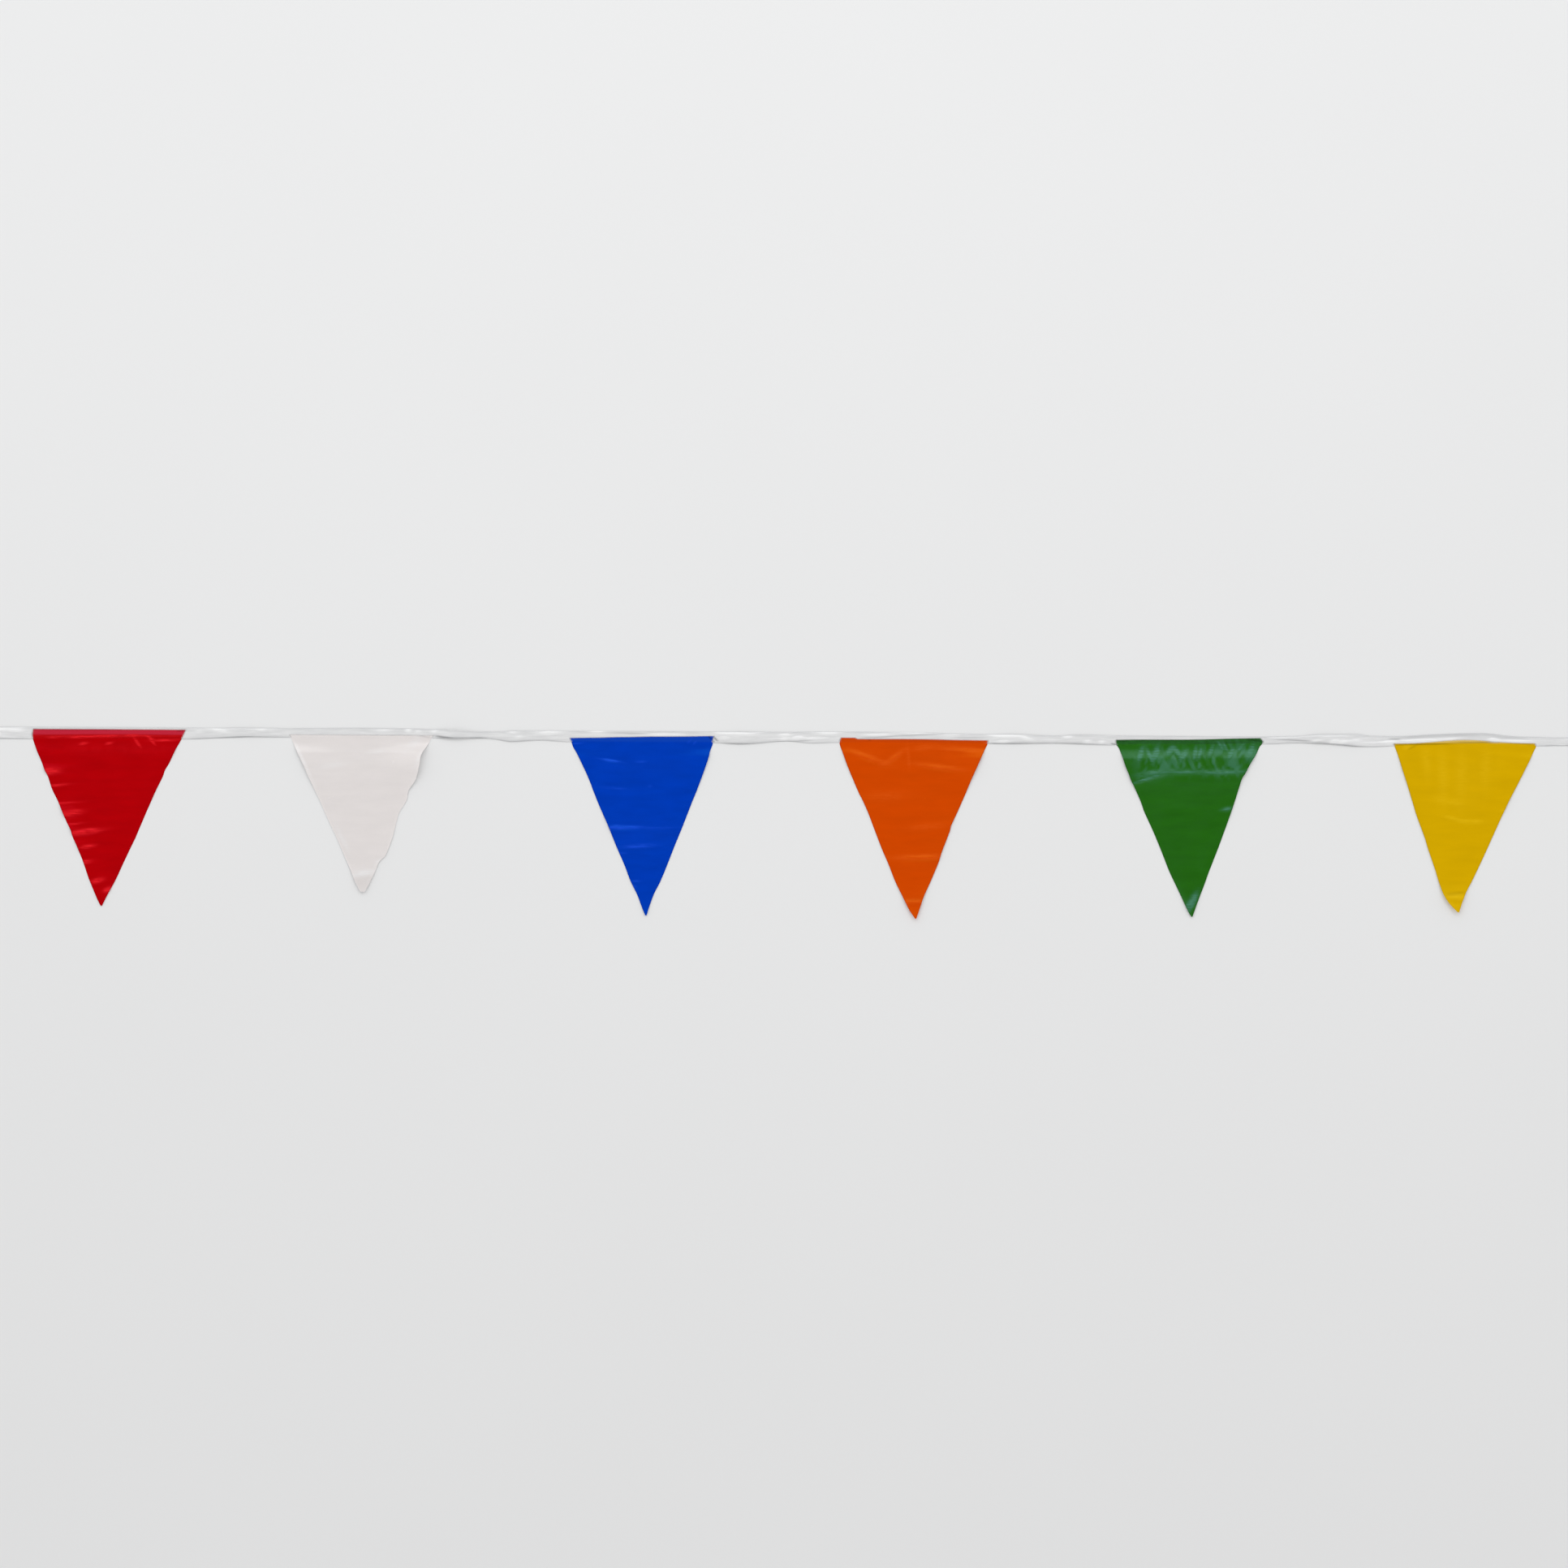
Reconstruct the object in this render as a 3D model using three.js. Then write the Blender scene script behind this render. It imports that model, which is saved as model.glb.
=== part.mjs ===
// A string of six film pennants, lying flat and face up on a surface.
// Each pennant is a long triangle of thin plastic film. Its top edge is tucked between
// the two layers of a tape, which is a strip of film folded once along its length, and
// is welded there. Nothing stretches the string, so tape and pennants lie a little uneven.
//
// Sizes are millimetres. +X runs along the tape, +Y points from the pennants' tips to the
// tape's fold, and +Z points up, off the surface. The origin is on the tape's underside,
// halfway along the string.

import * as THREE from 'three';

// Driving dimensions
const STRING_LENGTH = 2144;
const SHEET = 1; // thickness of every film sheet
const WELD_GAP = 0.3; // between a pennant and each layer of the tape
const LOOSE_GAP = 0.6; // between the tape's layers where there is no pennant
const FLAT_END = 24; // plain flat length at each end of the tape, where it is tied or clipped

// How finely the sheets are divided
const PENNANT_CELLS = 10; // across a pennant
const TOP_ROW_STEP = 6; // down a pennant, near the tape
const TOP_ROWS = 6;
const LOW_ROW_STEP = 11.5; // down a pennant, further on
const TAPE_STEP = 20; // along the tape
const FOLD_ANGLES = [45, 0, -45]; // degrees, the steps round the tape's fold

// How a pennant leaves the tape
const HEM_REACH = 7; // how far past the tape's edges it stays level
const SLOPE_LENGTH = 24; // how far it then takes to come down to the surface
const SETTLE = 0.15; // swells lower than this lie flat on the surface
const TIP_WIDTH = 2.4; // the tip is cut a little blunt
const TIP_LENGTH = 30; // the stretch over which its sides widen to that
const BOW_FULLNESS = 3; // how far a top edge's rise gathers towards its middle
const BOW_DEPTH = 14; // the depth over which that rise dies away

// Turns rows of numbers into rows with named columns
function table(columns, rows) {
  const names = columns.split(' ');
  return rows.map((row) => Object.fromEntries(names.map((name, i) => [name, row[i]])));
}

// The tape, station by station from its left end. fold is the folded edge, front and back
// are the edges of the upper and the lower layer, all as distances in Y, and lift is how
// far the tape stands off the surface.
const TAPE = table('x fold front back lift', [
  [-1072, 13.8, -2.0, -2.8, 0],
  [-1040, 13.8, -2.0, -2.8, 0],
  [-1011, 13.7, -2.2, -3.0, 0],
  [-900, 13.3, -1.8, -2.8, 0],
  [-805, 12.5, -2.6, -3.4, 0],
  [-766, 12.1, -1.2, -2.1, 0],
  [-728, 12.1, 0.4, -0.3, 0.8],
  [-673, 11.8, -0.4, 1.4, 0],
  [-568, 12.2, -1.4, 0.8, 0],
  [-472, 10.5, -1.4, 0.6, 0],
  [-444, 8.4, -1.6, -1.0, 3.4],
  [-411, 6.7, -1.2, -1.6, 1.0],
  [-389, 7.2, -3.0, -2.4, 0],
  [-367, 7.9, -6.0, -4.6, 0.6],
  [-329, 8.5, -4.4, -3.6, 0],
  [-288, 8.3, -6.6, -5.2, 0],
  [-190, 7.9, -7.2, -5.8, 0],
  [-95, 7.3, -7.8, -6.6, 0],
  [-59, 6.8, -9.4, -8.0, 0.8],
  [4, 6.6, -5.6, -6.0, 0],
  [37, 7.1, -8.2, -6.8, 0],
  [75, 7.1, -7.4, -6.6, 0],
  [177, 6.0, -8.2, -7.2, 0],
  [275, 3.8, -9.2, -8.0, 0],
  [310, 3.6, -8.7, -9.2, 0.8],
  [365, 1.8, -8.6, -8.0, 0],
  [398, 2.8, -9.3, -8.6, 0.6],
  [447, 2.0, -11.0, -9.8, 0],
  [549, 1.1, -10.8, -9.4, 0],
  [646, 0.4, -9.6, -8.4, 0],
  [693, 1.2, -8.0, -8.4, 0],
  [720, 3.0, -8.6, -8.2, 1.2],
  [748, 3.2, -10.6, -9.8, 1.0],
  [769, 3.7, -12.6, -11.6, 0.6],
  [791, 1.6, -13.2, -12.4, 0],
  [822, 0.9, -12.0, -11.2, 0],
  [868, 3.1, -10.8, -10.6, 0],
  [935, 5.2, -10.2, -10.4, 0],
  [988, 0.6, -11.2, -11.6, 0],
  [1021, -0.3, -12.0, -12.6, 0],
  [1040, -0.9, -11.4, -12.2, 0],
  [1072, -0.9, -11.4, -12.2, 0],
]);

// The wandering crinkle along the tape's upper layer, as waves along X
const CRINKLES = table('rise wavelength phase', [
  [0.35, 171, 0.4],
  [0.3, 97, 2.1],
  [0.25, 61, 4.4],
]);

// The pennants. left and right are the top corners and tip is the point, each as x and y.
// bow is how far the top edge rises halfway. A row of edges is one level of the pennant:
// down is its distance below the top corners, left and right say how far each side edge
// strays to the right of its straight line, and the lifts are the heights off the surface
// at the left edge, in the middle and at the right edge. A row of folds is one soft ridge:
// across is from the pennant's middle line, turn is its direction in degrees, and width
// and rise are its half width and its height.
const EDGE_COLUMNS = 'down left right leftLift midLift rightLift';
const FOLD_COLUMNS = 'across down length turn width rise';

const PENNANTS = [
  {
    name: 'pennant_red',
    colour: 0xab0008,
    left: [-1011, 11.2],
    right: [-805, 9.9],
    tip: [-919.2, -227.3],
    bow: 0,
    edges: table(EDGE_COLUMNS, [
      [0, 0, 0, 0, 0, 0],
      [11, -4.9, -1.6, 0.4, 0, 0.6],
      [28, -6.4, -2.2, 1.2, 0, 1.0],
      [45, -5.4, -2.5, 0.4, 0, 0.2],
      [55, -6.0, -3.2, 2.0, 0, 0],
      [64, -4.7, -2.6, 0.2, 0, 0],
      [81, -5.3, -2.7, 0.4, 0, 0.6],
      [98, -3.9, -1.6, 0.4, 0, 0.4],
      [111, -4.1, -1.2, 2.2, 0, 0],
      [125, -3.0, -0.5, 0.2, 0, 0],
      [137, -2.8, -0.2, 1.8, 0, 0],
      [147, -2.4, 0.4, 0.2, 0, 0],
      [157, -2.3, 0.6, 1.4, 0, 0],
      [177, -1.7, 0.7, 0, 0, 0],
      [203, -2.4, 0.9, 0.4, 0, 0.4],
      [229, -1.5, 0.4, 0.8, 0.6, 0.8],
      [240, 0, 0, 1.0, 1.0, 1.0],
    ]),
    folds: table(FOLD_COLUMNS, [
      [-58, 56, 34, -6, 8, 1.0],
      [-34, 112, 26, -4, 7, 1.2],
      [-26, 158, 18, -8, 6, 0.8],
      [52, 26, 16, -60, 7, 1.2],
      [10, 150, 40, 12, 9, 0.6],
    ]),
  },
  {
    name: 'pennant_white',
    colour: 0xdedad8,
    left: [-665.6, 3.3],
    right: [-472.2, 2.2],
    tip: [-567.3, -208.2],
    bow: 0,
    edges: table(EDGE_COLUMNS, [
      [0, 0, 0, 0, 0, 0],
      [15, -0.6, -2.2, 1.6, 0, 5.0],
      [25, -0.5, -3.9, 3.0, 0.6, 8.6],
      [41, -0.3, 0.2, 3.4, 1.0, 10.0],
      [60, -0.9, 3.2, 2.8, 1.2, 9.0],
      [75, -1.0, 0.2, 1.8, 1.0, 6.4],
      [89, -0.8, 3.4, 1.0, 0.6, 4.0],
      [106, -1.4, 0.9, 1.0, 0.4, 2.6],
      [116, -1.5, 2.7, 1.0, 0.4, 2.6],
      [145, -1.5, 7.8, 1.4, 0.8, 3.0],
      [162, -2.3, 8.6, 1.6, 1.2, 3.6],
      [173, -2.8, 3.8, 2.0, 2.4, 4.0],
      [182, -3.2, 4.4, 3.0, 3.4, 4.6],
      [198, -5.1, 4.2, 4.4, 4.8, 5.6],
      [212, -2.6, 2.2, 5.4, 6.0, 6.4],
    ]),
    folds: table(FOLD_COLUMNS, [
      [20, 32, 34, -20, 12, 1.6],
      [-34, 62, 30, 14, 12, 1.0],
      [8, 172, 22, -14, 6, 1.4],
    ]),
  },
  {
    name: 'pennant_blue',
    colour: 0x0037af,
    left: [-288, -1.4],
    right: [-95.1, 1.2],
    tip: [-185.8, -240.5],
    bow: 0.4,
    edges: table(EDGE_COLUMNS, [
      [0, 0, -1.0, 0, 0, 0],
      [6, 0, -0.4, 0, 0, 0],
      [12, -0.9, 1.2, 0.2, 0, 0.6],
      [20, 0.1, 1.4, 0.6, 0, 1.6],
      [28, 1.0, 2.6, 1.0, 0, 2.0],
      [55, 1.7, 3.1, 0.6, 0, 1.4],
      [72, 1.0, 3.7, 0.4, 0, 1.0],
      [90, 0.5, 2.7, 0.6, 0, 0.6],
      [117, 0.2, 2.8, 1.2, 0, 0.4],
      [151, 0.1, 1.9, 0.6, 0, 0.4],
      [168, 0.6, 1.4, 0.4, 0, 0.4],
      [194, -0.7, 0.4, 0.8, 0, 0.4],
      [212, 0.1, -0.3, 0.6, 0.4, 0.6],
      [230, -0.2, -0.6, 1.4, 1.2, 1.4],
      [241, 0, 0, 2.2, 2.2, 2.2],
    ]),
    folds: table(FOLD_COLUMNS, [
      [-38, 28, 22, -8, 9, 1.4],
      [-18, 119, 26, 4, 7, 1.2],
      [-2, 142, 34, 0, 8, 0.9],
      [66, 22, 18, -70, 8, 1.0],
    ]),
  },
  {
    name: 'pennant_orange',
    colour: 0xd04800,
    left: [75.4, -2.2],
    right: [275.4, -4.4],
    tip: [177.1, -244.8],
    bow: 0.6,
    edges: table(EDGE_COLUMNS, [
      [0, 2.0, -2.6, 0, 0, 0],
      [6, -2.4, -0.8, 0, 0, 0],
      [12, -3.7, -0.9, 0.8, 0, 1.6],
      [20, -4.4, -1.2, 1.4, 0, 3.0],
      [37, -5.0, -1.5, 1.2, 0, 3.4],
      [55, -5.0, -1.8, 0.8, 0, 2.2],
      [72, -4.8, -2.2, 0.4, 0, 1.2],
      [81, -3.9, -2.6, 0.6, 0, 0.8],
      [98, -3.6, -3.3, 0.8, 0, 0.8],
      [116, -4.1, -4.1, 0.4, 0, 1.6],
      [125, -4.7, -3.0, 0.4, 0, 1.2],
      [151, -5.5, -2.3, 0.6, 0, 1.8],
      [168, -5.6, -0.6, 0.6, 0, 1.0],
      [190, -5.8, -1.6, 0.8, 0.4, 1.0],
      [212, -5.0, -1.0, 1.8, 1.6, 2.2],
      [229, -3.4, -0.4, 3.4, 3.2, 3.6],
      [242, 0, 0, 5.0, 5.0, 5.0],
    ]),
    folds: table(FOLD_COLUMNS, [
      [-62, 22, 26, -26, 7, 2.0],
      [-22, 20, 22, 44, 7, 1.8],
      [34, 34, 40, -8, 9, 1.6],
      [6, 18, 14, 82, 6, 1.4],
      [12, 152, 26, 3, 8, 1.6],
      [2, 208, 18, 0, 7, 1.4],
    ]),
  },
  {
    name: 'pennant_green',
    colour: 0x226110,
    left: [447, -3.6],
    right: [646, -1.4],
    tip: [549.2, -242.1],
    bow: -0.8,
    edges: table(EDGE_COLUMNS, [
      [0, 1.0, -4.4, 0, 0, 0],
      [6, -1.2, 0.6, 0, 0, 0],
      [12, -1.8, -1.0, 1.6, 1.0, 1.0],
      [20, -1.9, -1.8, 3.0, 2.0, 2.0],
      [37, -3.1, -4.5, 3.4, 3.6, 4.2],
      [46, -3.0, -6.4, 3.0, 4.6, 5.0],
      [55, -3.1, -7.4, 2.6, 3.4, 3.4],
      [64, -3.1, -7.3, 2.0, 1.2, 1.6],
      [81, -2.8, -5.8, 0.8, 0, 0.8],
      [98, -2.8, -5.2, 0.4, 0, 1.4],
      [125, -2.7, -4.0, 0.4, 0, 0.6],
      [151, -3.0, -2.9, 0.6, 0, 0.4],
      [177, -3.2, -2.0, 0.4, 0, 0.4],
      [203, -2.9, -1.3, 0.8, 0.2, 0.6],
      [229, -1.8, -0.4, 1.8, 1.4, 1.6],
      [240, 0, 0, 2.4, 2.4, 2.4],
    ]),
    folds: table(FOLD_COLUMNS, [
      [-62, 32, 26, 70, 10, 1.6],
      [-28, 22, 18, -60, 8, 1.8],
      [2, 30, 22, 64, 8, 1.6],
      [34, 22, 18, -72, 7, 1.8],
      [62, 24, 20, 58, 7, 1.6],
    ]),
  },
  {
    name: 'pennant_yellow',
    colour: 0xd4ac00,
    left: [821.9, -8.8],
    right: [1012.1, -8.4],
    tip: [907.2, -236.1],
    bow: 4.8,
    edges: table(EDGE_COLUMNS, [
      [0, 0, -2.6, 0, 0, 0],
      [6, -0.5, 1.0, 0, 0, 0],
      [12, -0.8, 1.5, 0.4, 0, 0.8],
      [20, -1.3, 1.6, 0.8, 0, 1.4],
      [37, -2.0, 1.2, 1.2, 0, 1.6],
      [55, -2.9, 0.4, 1.0, 0, 1.2],
      [81, -4.9, -0.9, 0.6, 0, 2.0],
      [98, -6.2, -1.2, 0.6, 0, 1.2],
      [125, -6.6, -1.0, 0.8, 0, 0.8],
      [142, -7.8, -0.9, 0.8, 0, 0.6],
      [168, -8.8, -1.0, 0.8, 0, 0.6],
      [186, -9.8, -1.3, 1.4, 0.6, 1.2],
      [200, -10.3, -1.9, 3.0, 2.2, 2.4],
      [212, -8.5, -1.2, 5.0, 4.0, 4.0],
      [228, 0, 0, 7.0, 7.0, 7.0],
    ]),
    folds: table(FOLD_COLUMNS, [
      [-58, 16, 20, -16, 7, 1.2],
      [28, 26, 44, 10, 12, 1.2],
      [2, 92, 26, -10, 8, 1.2],
      [-6, 196, 14, -24, 6, 1.4],
    ]),
  },
];

// Small helpers
const mix = (a, b, t) => a + (b - a) * t;
const clamp = (value, low, high) => Math.min(Math.max(value, low), high);

function ease(value) {
  const t = clamp(value, 0, 1);
  return t * t * (3 - 2 * t);
}

// Reads one column of a table at a place between its rows, on a smooth curve through them
function readColumn(rows, key, column, at) {
  const last = rows.length - 1;
  const place = clamp(at, rows[0][key], rows[last][key]);
  const i = clamp(rows.findIndex((row) => row[key] > place) - 1, -1, last - 1);
  const start = i < 0 ? last - 1 : i;
  const [a, b] = [rows[start], rows[start + 1]];
  const slopeOver = (low, high) => (high[column] - low[column]) / (high[key] - low[key]);
  const between = slopeOver(a, b);
  // At a peak or trough the curve runs level, so that it never swings past a row
  const slopeAt = (before, after) => {
    if (before * after <= 0) return 0;
    return (2 * before * after) / (before + after);
  };
  const entering = start > 0 ? slopeAt(slopeOver(rows[start - 1], a), between) : between;
  const leaving = start + 2 <= last ? slopeAt(between, slopeOver(b, rows[start + 2])) : between;
  const span = b[key] - a[key];
  const t = (place - a[key]) / span;
  const rise = 3 * t * t - 2 * t * t * t;
  const enter = t * (1 - t) * (1 - t) * span * entering;
  const leave = t * t * (1 - t) * span * leaving;
  return mix(a[column], b[column], rise) + enter - leave;
}

// Builds one closed sheet from two grids of points, its outer and its inner face. Turning
// from a row's direction to a column's direction goes anticlockwise, seen from outside.
function sheetGeometry(outer, inner) {
  const rows = outer.length;
  const columns = outer[0].length;
  const positions = [...outer.flat(2), ...inner.flat(2)];
  const out = (r, c) => r * columns + c;
  const inn = (r, c) => rows * columns + r * columns + c;
  const index = [];
  const quad = (a, b, c, d) => index.push(a, b, c, a, c, d);
  for (let r = 0; r < rows - 1; r += 1) {
    for (let c = 0; c < columns - 1; c += 1) {
      quad(out(r, c), out(r + 1, c), out(r + 1, c + 1), out(r, c + 1));
      quad(inn(r, c), inn(r, c + 1), inn(r + 1, c + 1), inn(r + 1, c));
    }
    quad(out(r, 0), inn(r, 0), inn(r + 1, 0), out(r + 1, 0));
    const c = columns - 1;
    quad(out(r, c), out(r + 1, c), inn(r + 1, c), inn(r, c));
  }
  const r = rows - 1;
  for (let c = 0; c < columns - 1; c += 1) {
    quad(out(0, c), out(0, c + 1), inn(0, c + 1), inn(0, c));
    quad(out(r, c), inn(r, c), inn(r, c + 1), out(r, c + 1));
  }
  const geometry = new THREE.BufferGeometry();
  geometry.setAttribute('position', new THREE.Float32BufferAttribute(positions, 3));
  geometry.setIndex(index);
  geometry.computeVertexNormals();
  return geometry;
}

// The heading tape
const tapeAt = (column, x) => readColumn(TAPE, 'x', column, x);
const PENNANT_SLOT = SHEET + 2 * WELD_GAP;

// The gap between the tape's layers: wide enough for a pennant wherever one is tucked in
function slotAt(x) {
  const nearest = PENNANTS.map(({ left, right }) => Math.max(left[0] - x, x - right[0]));
  const away = Math.min(...nearest) - 1.2 * TAPE_STEP;
  return mix(PENNANT_SLOT, LOOSE_GAP, ease(away / TAPE_STEP));
}

// The height of the crinkle at one place along the tape, which fades out at the flat ends
function crinkleAt(x, shift) {
  const fromEnd = STRING_LENGTH / 2 - Math.abs(x) - FLAT_END;
  const waves = CRINKLES.map(({ rise, wavelength, phase }) => (
    rise * (1 + Math.sin((2 * Math.PI * x) / wavelength + phase + shift))
  ));
  return waves.reduce((sum, wave) => sum + wave, 0) * 0.5 * ease(fromEnd / TAPE_STEP);
}

// One section of the tape, from the upper layer's edge over the top, round the fold and
// back along the underside: inset 0 is its outer face and inset SHEET its inner face
function tapeSection(x, inset) {
  const lift = tapeAt('lift', x);
  const height = slotAt(x) + 2 * SHEET;
  const radius = height / 2;
  const turnY = tapeAt('fold', x) - radius;
  const front = tapeAt('front', x);
  const top = lift + height - inset;
  const bend = FOLD_ANGLES.map((degrees) => {
    const angle = THREE.MathUtils.degToRad(degrees);
    const reach = radius - inset;
    return [x, turnY + reach * Math.cos(angle), lift + radius + reach * Math.sin(angle)];
  });
  return [
    [x, front, top],
    [x, mix(front, turnY, 0.36), top + crinkleAt(x, 0)],
    [x, mix(front, turnY, 0.7), top + crinkleAt(x, 2.4)],
    [x, turnY, top],
    ...bend,
    [x, turnY, lift + inset],
    [x, tapeAt('back', x), lift + inset],
  ];
}

function tapeGeometry() {
  const steps = Math.round(STRING_LENGTH / TAPE_STEP);
  const stations = Array.from({ length: steps + 1 }, (_, i) => (
    STRING_LENGTH * (i / steps - 0.5)
  ));
  const outer = stations.map((x) => tapeSection(x, 0));
  const inner = stations.map((x) => tapeSection(x, SHEET));
  return sheetGeometry(outer, inner);
}

// The pennants

// The height of one soft ridge at a point of the pennant
function ridgeHeight(fold, across, down) {
  const angle = THREE.MathUtils.degToRad(fold.turn);
  const dx = across - fold.across;
  const dy = fold.down - down;
  const along = dx * Math.cos(angle) + dy * Math.sin(angle);
  const beside = dy * Math.cos(angle) - dx * Math.sin(angle);
  return fold.rise * Math.exp(-((beside / fold.width) ** 2) - (along / fold.length) ** 4);
}

// The height of a pennant's underside off the surface
function undersideAt(pennant, x, y, down, share) {
  const hem = Math.min(tapeAt('front', x), tapeAt('back', x));
  const past = hem - HEM_REACH - y;
  const held = 1 - ease(past / SLOPE_LENGTH);
  const free = ease(past / (SLOPE_LENGTH / 2));
  const lift = (column) => readColumn(pennant.edges, 'down', column, down);
  const half = share < 0.5 ? 'leftLift' : 'rightLift';
  const edgeShare = Math.abs(2 * share - 1);
  const swell = mix(lift('midLift'), lift(half), edgeShare ** 2);
  const middle = mix(pennant.left[0], pennant.right[0], 0.5);
  const tipShift = (pennant.tip[0] - middle) * (down / (pennant.left[1] - pennant.tip[1]));
  const across = x - middle - tipShift;
  const ridges = pennant.folds.map((fold) => ridgeHeight(fold, across, down));
  const relief = ridges.reduce((sum, ridge) => sum + ridge, swell);
  return held * (SHEET + WELD_GAP) + free * Math.max(0, relief - SETTLE);
}

// The levels at which a pennant is divided, closer together near the tape
function pennantLevels(drop) {
  const near = Array.from({ length: TOP_ROWS }, (_, i) => i * TOP_ROW_STEP);
  const rest = drop - TOP_ROWS * TOP_ROW_STEP;
  const count = Math.round(rest / LOW_ROW_STEP);
  const far = Array.from({ length: count + 1 }, (_, i) => (
    TOP_ROWS * TOP_ROW_STEP + (rest * i) / count
  ));
  return [...near, ...far];
}

function pennantGeometry(pennant) {
  const { left, right, tip, bow, edges } = pennant;
  const drop = left[1] - tip[1];
  const over = [];
  const under = [];
  pennantLevels(drop).forEach((down) => {
    const t = down / drop;
    const blunt = (TIP_WIDTH / 2) * ease(1 - (drop - down) / TIP_LENGTH);
    const leftX = mix(left[0], tip[0], t) + readColumn(edges, 'down', 'left', down) - blunt;
    const rightX = mix(right[0], tip[0], t) + readColumn(edges, 'down', 'right', down) + blunt;
    const row = Array.from({ length: PENNANT_CELLS + 1 }, (_, i) => {
      const share = i / PENNANT_CELLS;
      const x = mix(leftX, rightX, share);
      const tilt = mix(0, right[1] - left[1], share) * (1 - t);
      const arch = bow * Math.sin(Math.PI * share) ** BOW_FULLNESS * (1 - ease(down / BOW_DEPTH));
      const y = left[1] - down + tilt + arch;
      return [x, y, undersideAt(pennant, x, y, down, share)];
    });
    under.push(row);
    over.push(row.map(([x, y, z]) => [x, y, z + SHEET]));
  });
  return sheetGeometry(over, under);
}

// Assembly
function film(geometry, name, colour, roughness) {
  const material = new THREE.MeshStandardMaterial({ color: colour, roughness, metalness: 0 });
  const mesh = new THREE.Mesh(geometry, material);
  mesh.name = name;
  return mesh;
}

const pennantString = new THREE.Group();
pennantString.add(film(tapeGeometry(), 'heading_tape', 0xe9e9e8, 0.25));
PENNANTS.forEach((pennant) => {
  pennantString.add(film(pennantGeometry(pennant), pennant.name, pennant.colour, 0.4));
});

export default pennantString;
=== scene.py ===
import math

import bpy
import numpy as np
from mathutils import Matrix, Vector


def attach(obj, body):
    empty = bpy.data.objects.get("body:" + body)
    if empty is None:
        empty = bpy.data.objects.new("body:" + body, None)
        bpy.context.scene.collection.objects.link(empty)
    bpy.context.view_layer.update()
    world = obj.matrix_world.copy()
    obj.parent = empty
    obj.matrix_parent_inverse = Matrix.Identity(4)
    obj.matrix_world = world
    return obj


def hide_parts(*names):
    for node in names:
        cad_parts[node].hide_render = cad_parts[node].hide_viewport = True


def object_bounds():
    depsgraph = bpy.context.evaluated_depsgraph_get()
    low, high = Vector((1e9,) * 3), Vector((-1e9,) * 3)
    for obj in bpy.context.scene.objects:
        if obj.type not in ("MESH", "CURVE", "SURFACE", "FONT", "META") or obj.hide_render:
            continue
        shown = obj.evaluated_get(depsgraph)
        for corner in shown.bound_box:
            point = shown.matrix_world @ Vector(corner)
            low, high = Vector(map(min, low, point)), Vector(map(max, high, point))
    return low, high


# The looks of a string of six pennants of thin plastic film on a folded film tape, lying on
# a pale surface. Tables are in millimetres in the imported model's frame: +X along the tape,
# +Y from the pennants' tips to the tape's fold, +Z off the surface. The scene is in metres.

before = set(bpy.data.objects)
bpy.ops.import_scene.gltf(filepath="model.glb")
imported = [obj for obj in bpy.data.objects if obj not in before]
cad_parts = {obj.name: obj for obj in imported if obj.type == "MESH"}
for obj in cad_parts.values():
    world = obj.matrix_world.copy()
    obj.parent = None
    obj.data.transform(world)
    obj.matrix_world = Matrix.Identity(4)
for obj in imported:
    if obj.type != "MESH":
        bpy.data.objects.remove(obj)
CAD_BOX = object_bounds()

MM = 0.001
STRING_LENGTH = (CAD_BOX[1].x - CAD_BOX[0].x) / MM

# The film sheets, far thinner than the solids that stand for them
FILM = 0.12  # thickness
AIR = 0.08  # between sheets that lie on each other
REST = 0.06  # from the surface up to a sheet that lies flat on it
SOFTNESS = 0.12  # how gently a sheet lifts off the surface
WELD_HEIGHT = REST + FILM + AIR  # underside of a pennant's welded top
SLOT = FILM + 2 * AIR  # between the tape's layers where a pennant is tucked in
LOOSE_SLOT = 0.5  # between them elsewhere
SHARP_EDGE = 60  # degrees, beyond which an edge is shaded as a corner

# How finely they are divided
PENNANT_COLUMNS = 112
TOP_DEPTH = 62  # the creased top of a pennant
TOP_ROW_STEP = 1.1
LOW_ROW_STEP = 1.7
TAPE_STEP = 1.7
TAPE_FRONT_CELLS = 14
TAPE_BEND_CELLS = 4
TAPE_BACK_CELLS = 4

# How a pennant leaves the tape
HEM_REACH = 3  # past the tape's free edges it starts down to the surface
SLOPE_LENGTH = 34
SLOPE_CREASE = 0.25  # the share of a crease's height that shows before it is down

# A pennant's tip and its top edge
TIP_WIDTH = 1.6
TIP_LENGTH = 30
BOW_FULLNESS = 3
BOW_DEPTH = 14
RAGGED_DEPTH = 5  # how far down the unevenness of a top edge is felt
TAB_END = 0.1  # where a tab ends and how fast it drops, as shares of the top edge
TAB_FADE = 0.02

# Waves in the film, each with its height, its slant, and the width and length of a bump
TOP_EDGE_WAVES = [(0.35, 0, 7, 5)]
FILM_WAVES = [(0.08, 0, 34, 15), (0.03, 0, 11, 6)]
PUCKERS = [(1, 0.35, 5.2, 17), (0.7, -0.5, 4.1, 11)]
PUCKER_RISE = 0.3
TAPE_WAVES = [(0.5, 0, 90, 5), (0.25, 0, 37, 3.1), (0.08, 0.8, 12, 3)]

# The tape's slack: it starts LOOSE_REACH inside a pennant's corner and is full LOOSE_LENGTH on
LOOSE_REACH = 6
LOOSE_LENGTH = 26
SLACK_BIAS = 0.35  # how much more of the tape's waves rise than lie flat
PRESSED_PUFF = 0.12  # how much of its puff is left on a pennant
PUFF_FULLNESS = 0.7
STREAK_GAIN = 1.5
STREAK_RISE = 0.55

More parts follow.
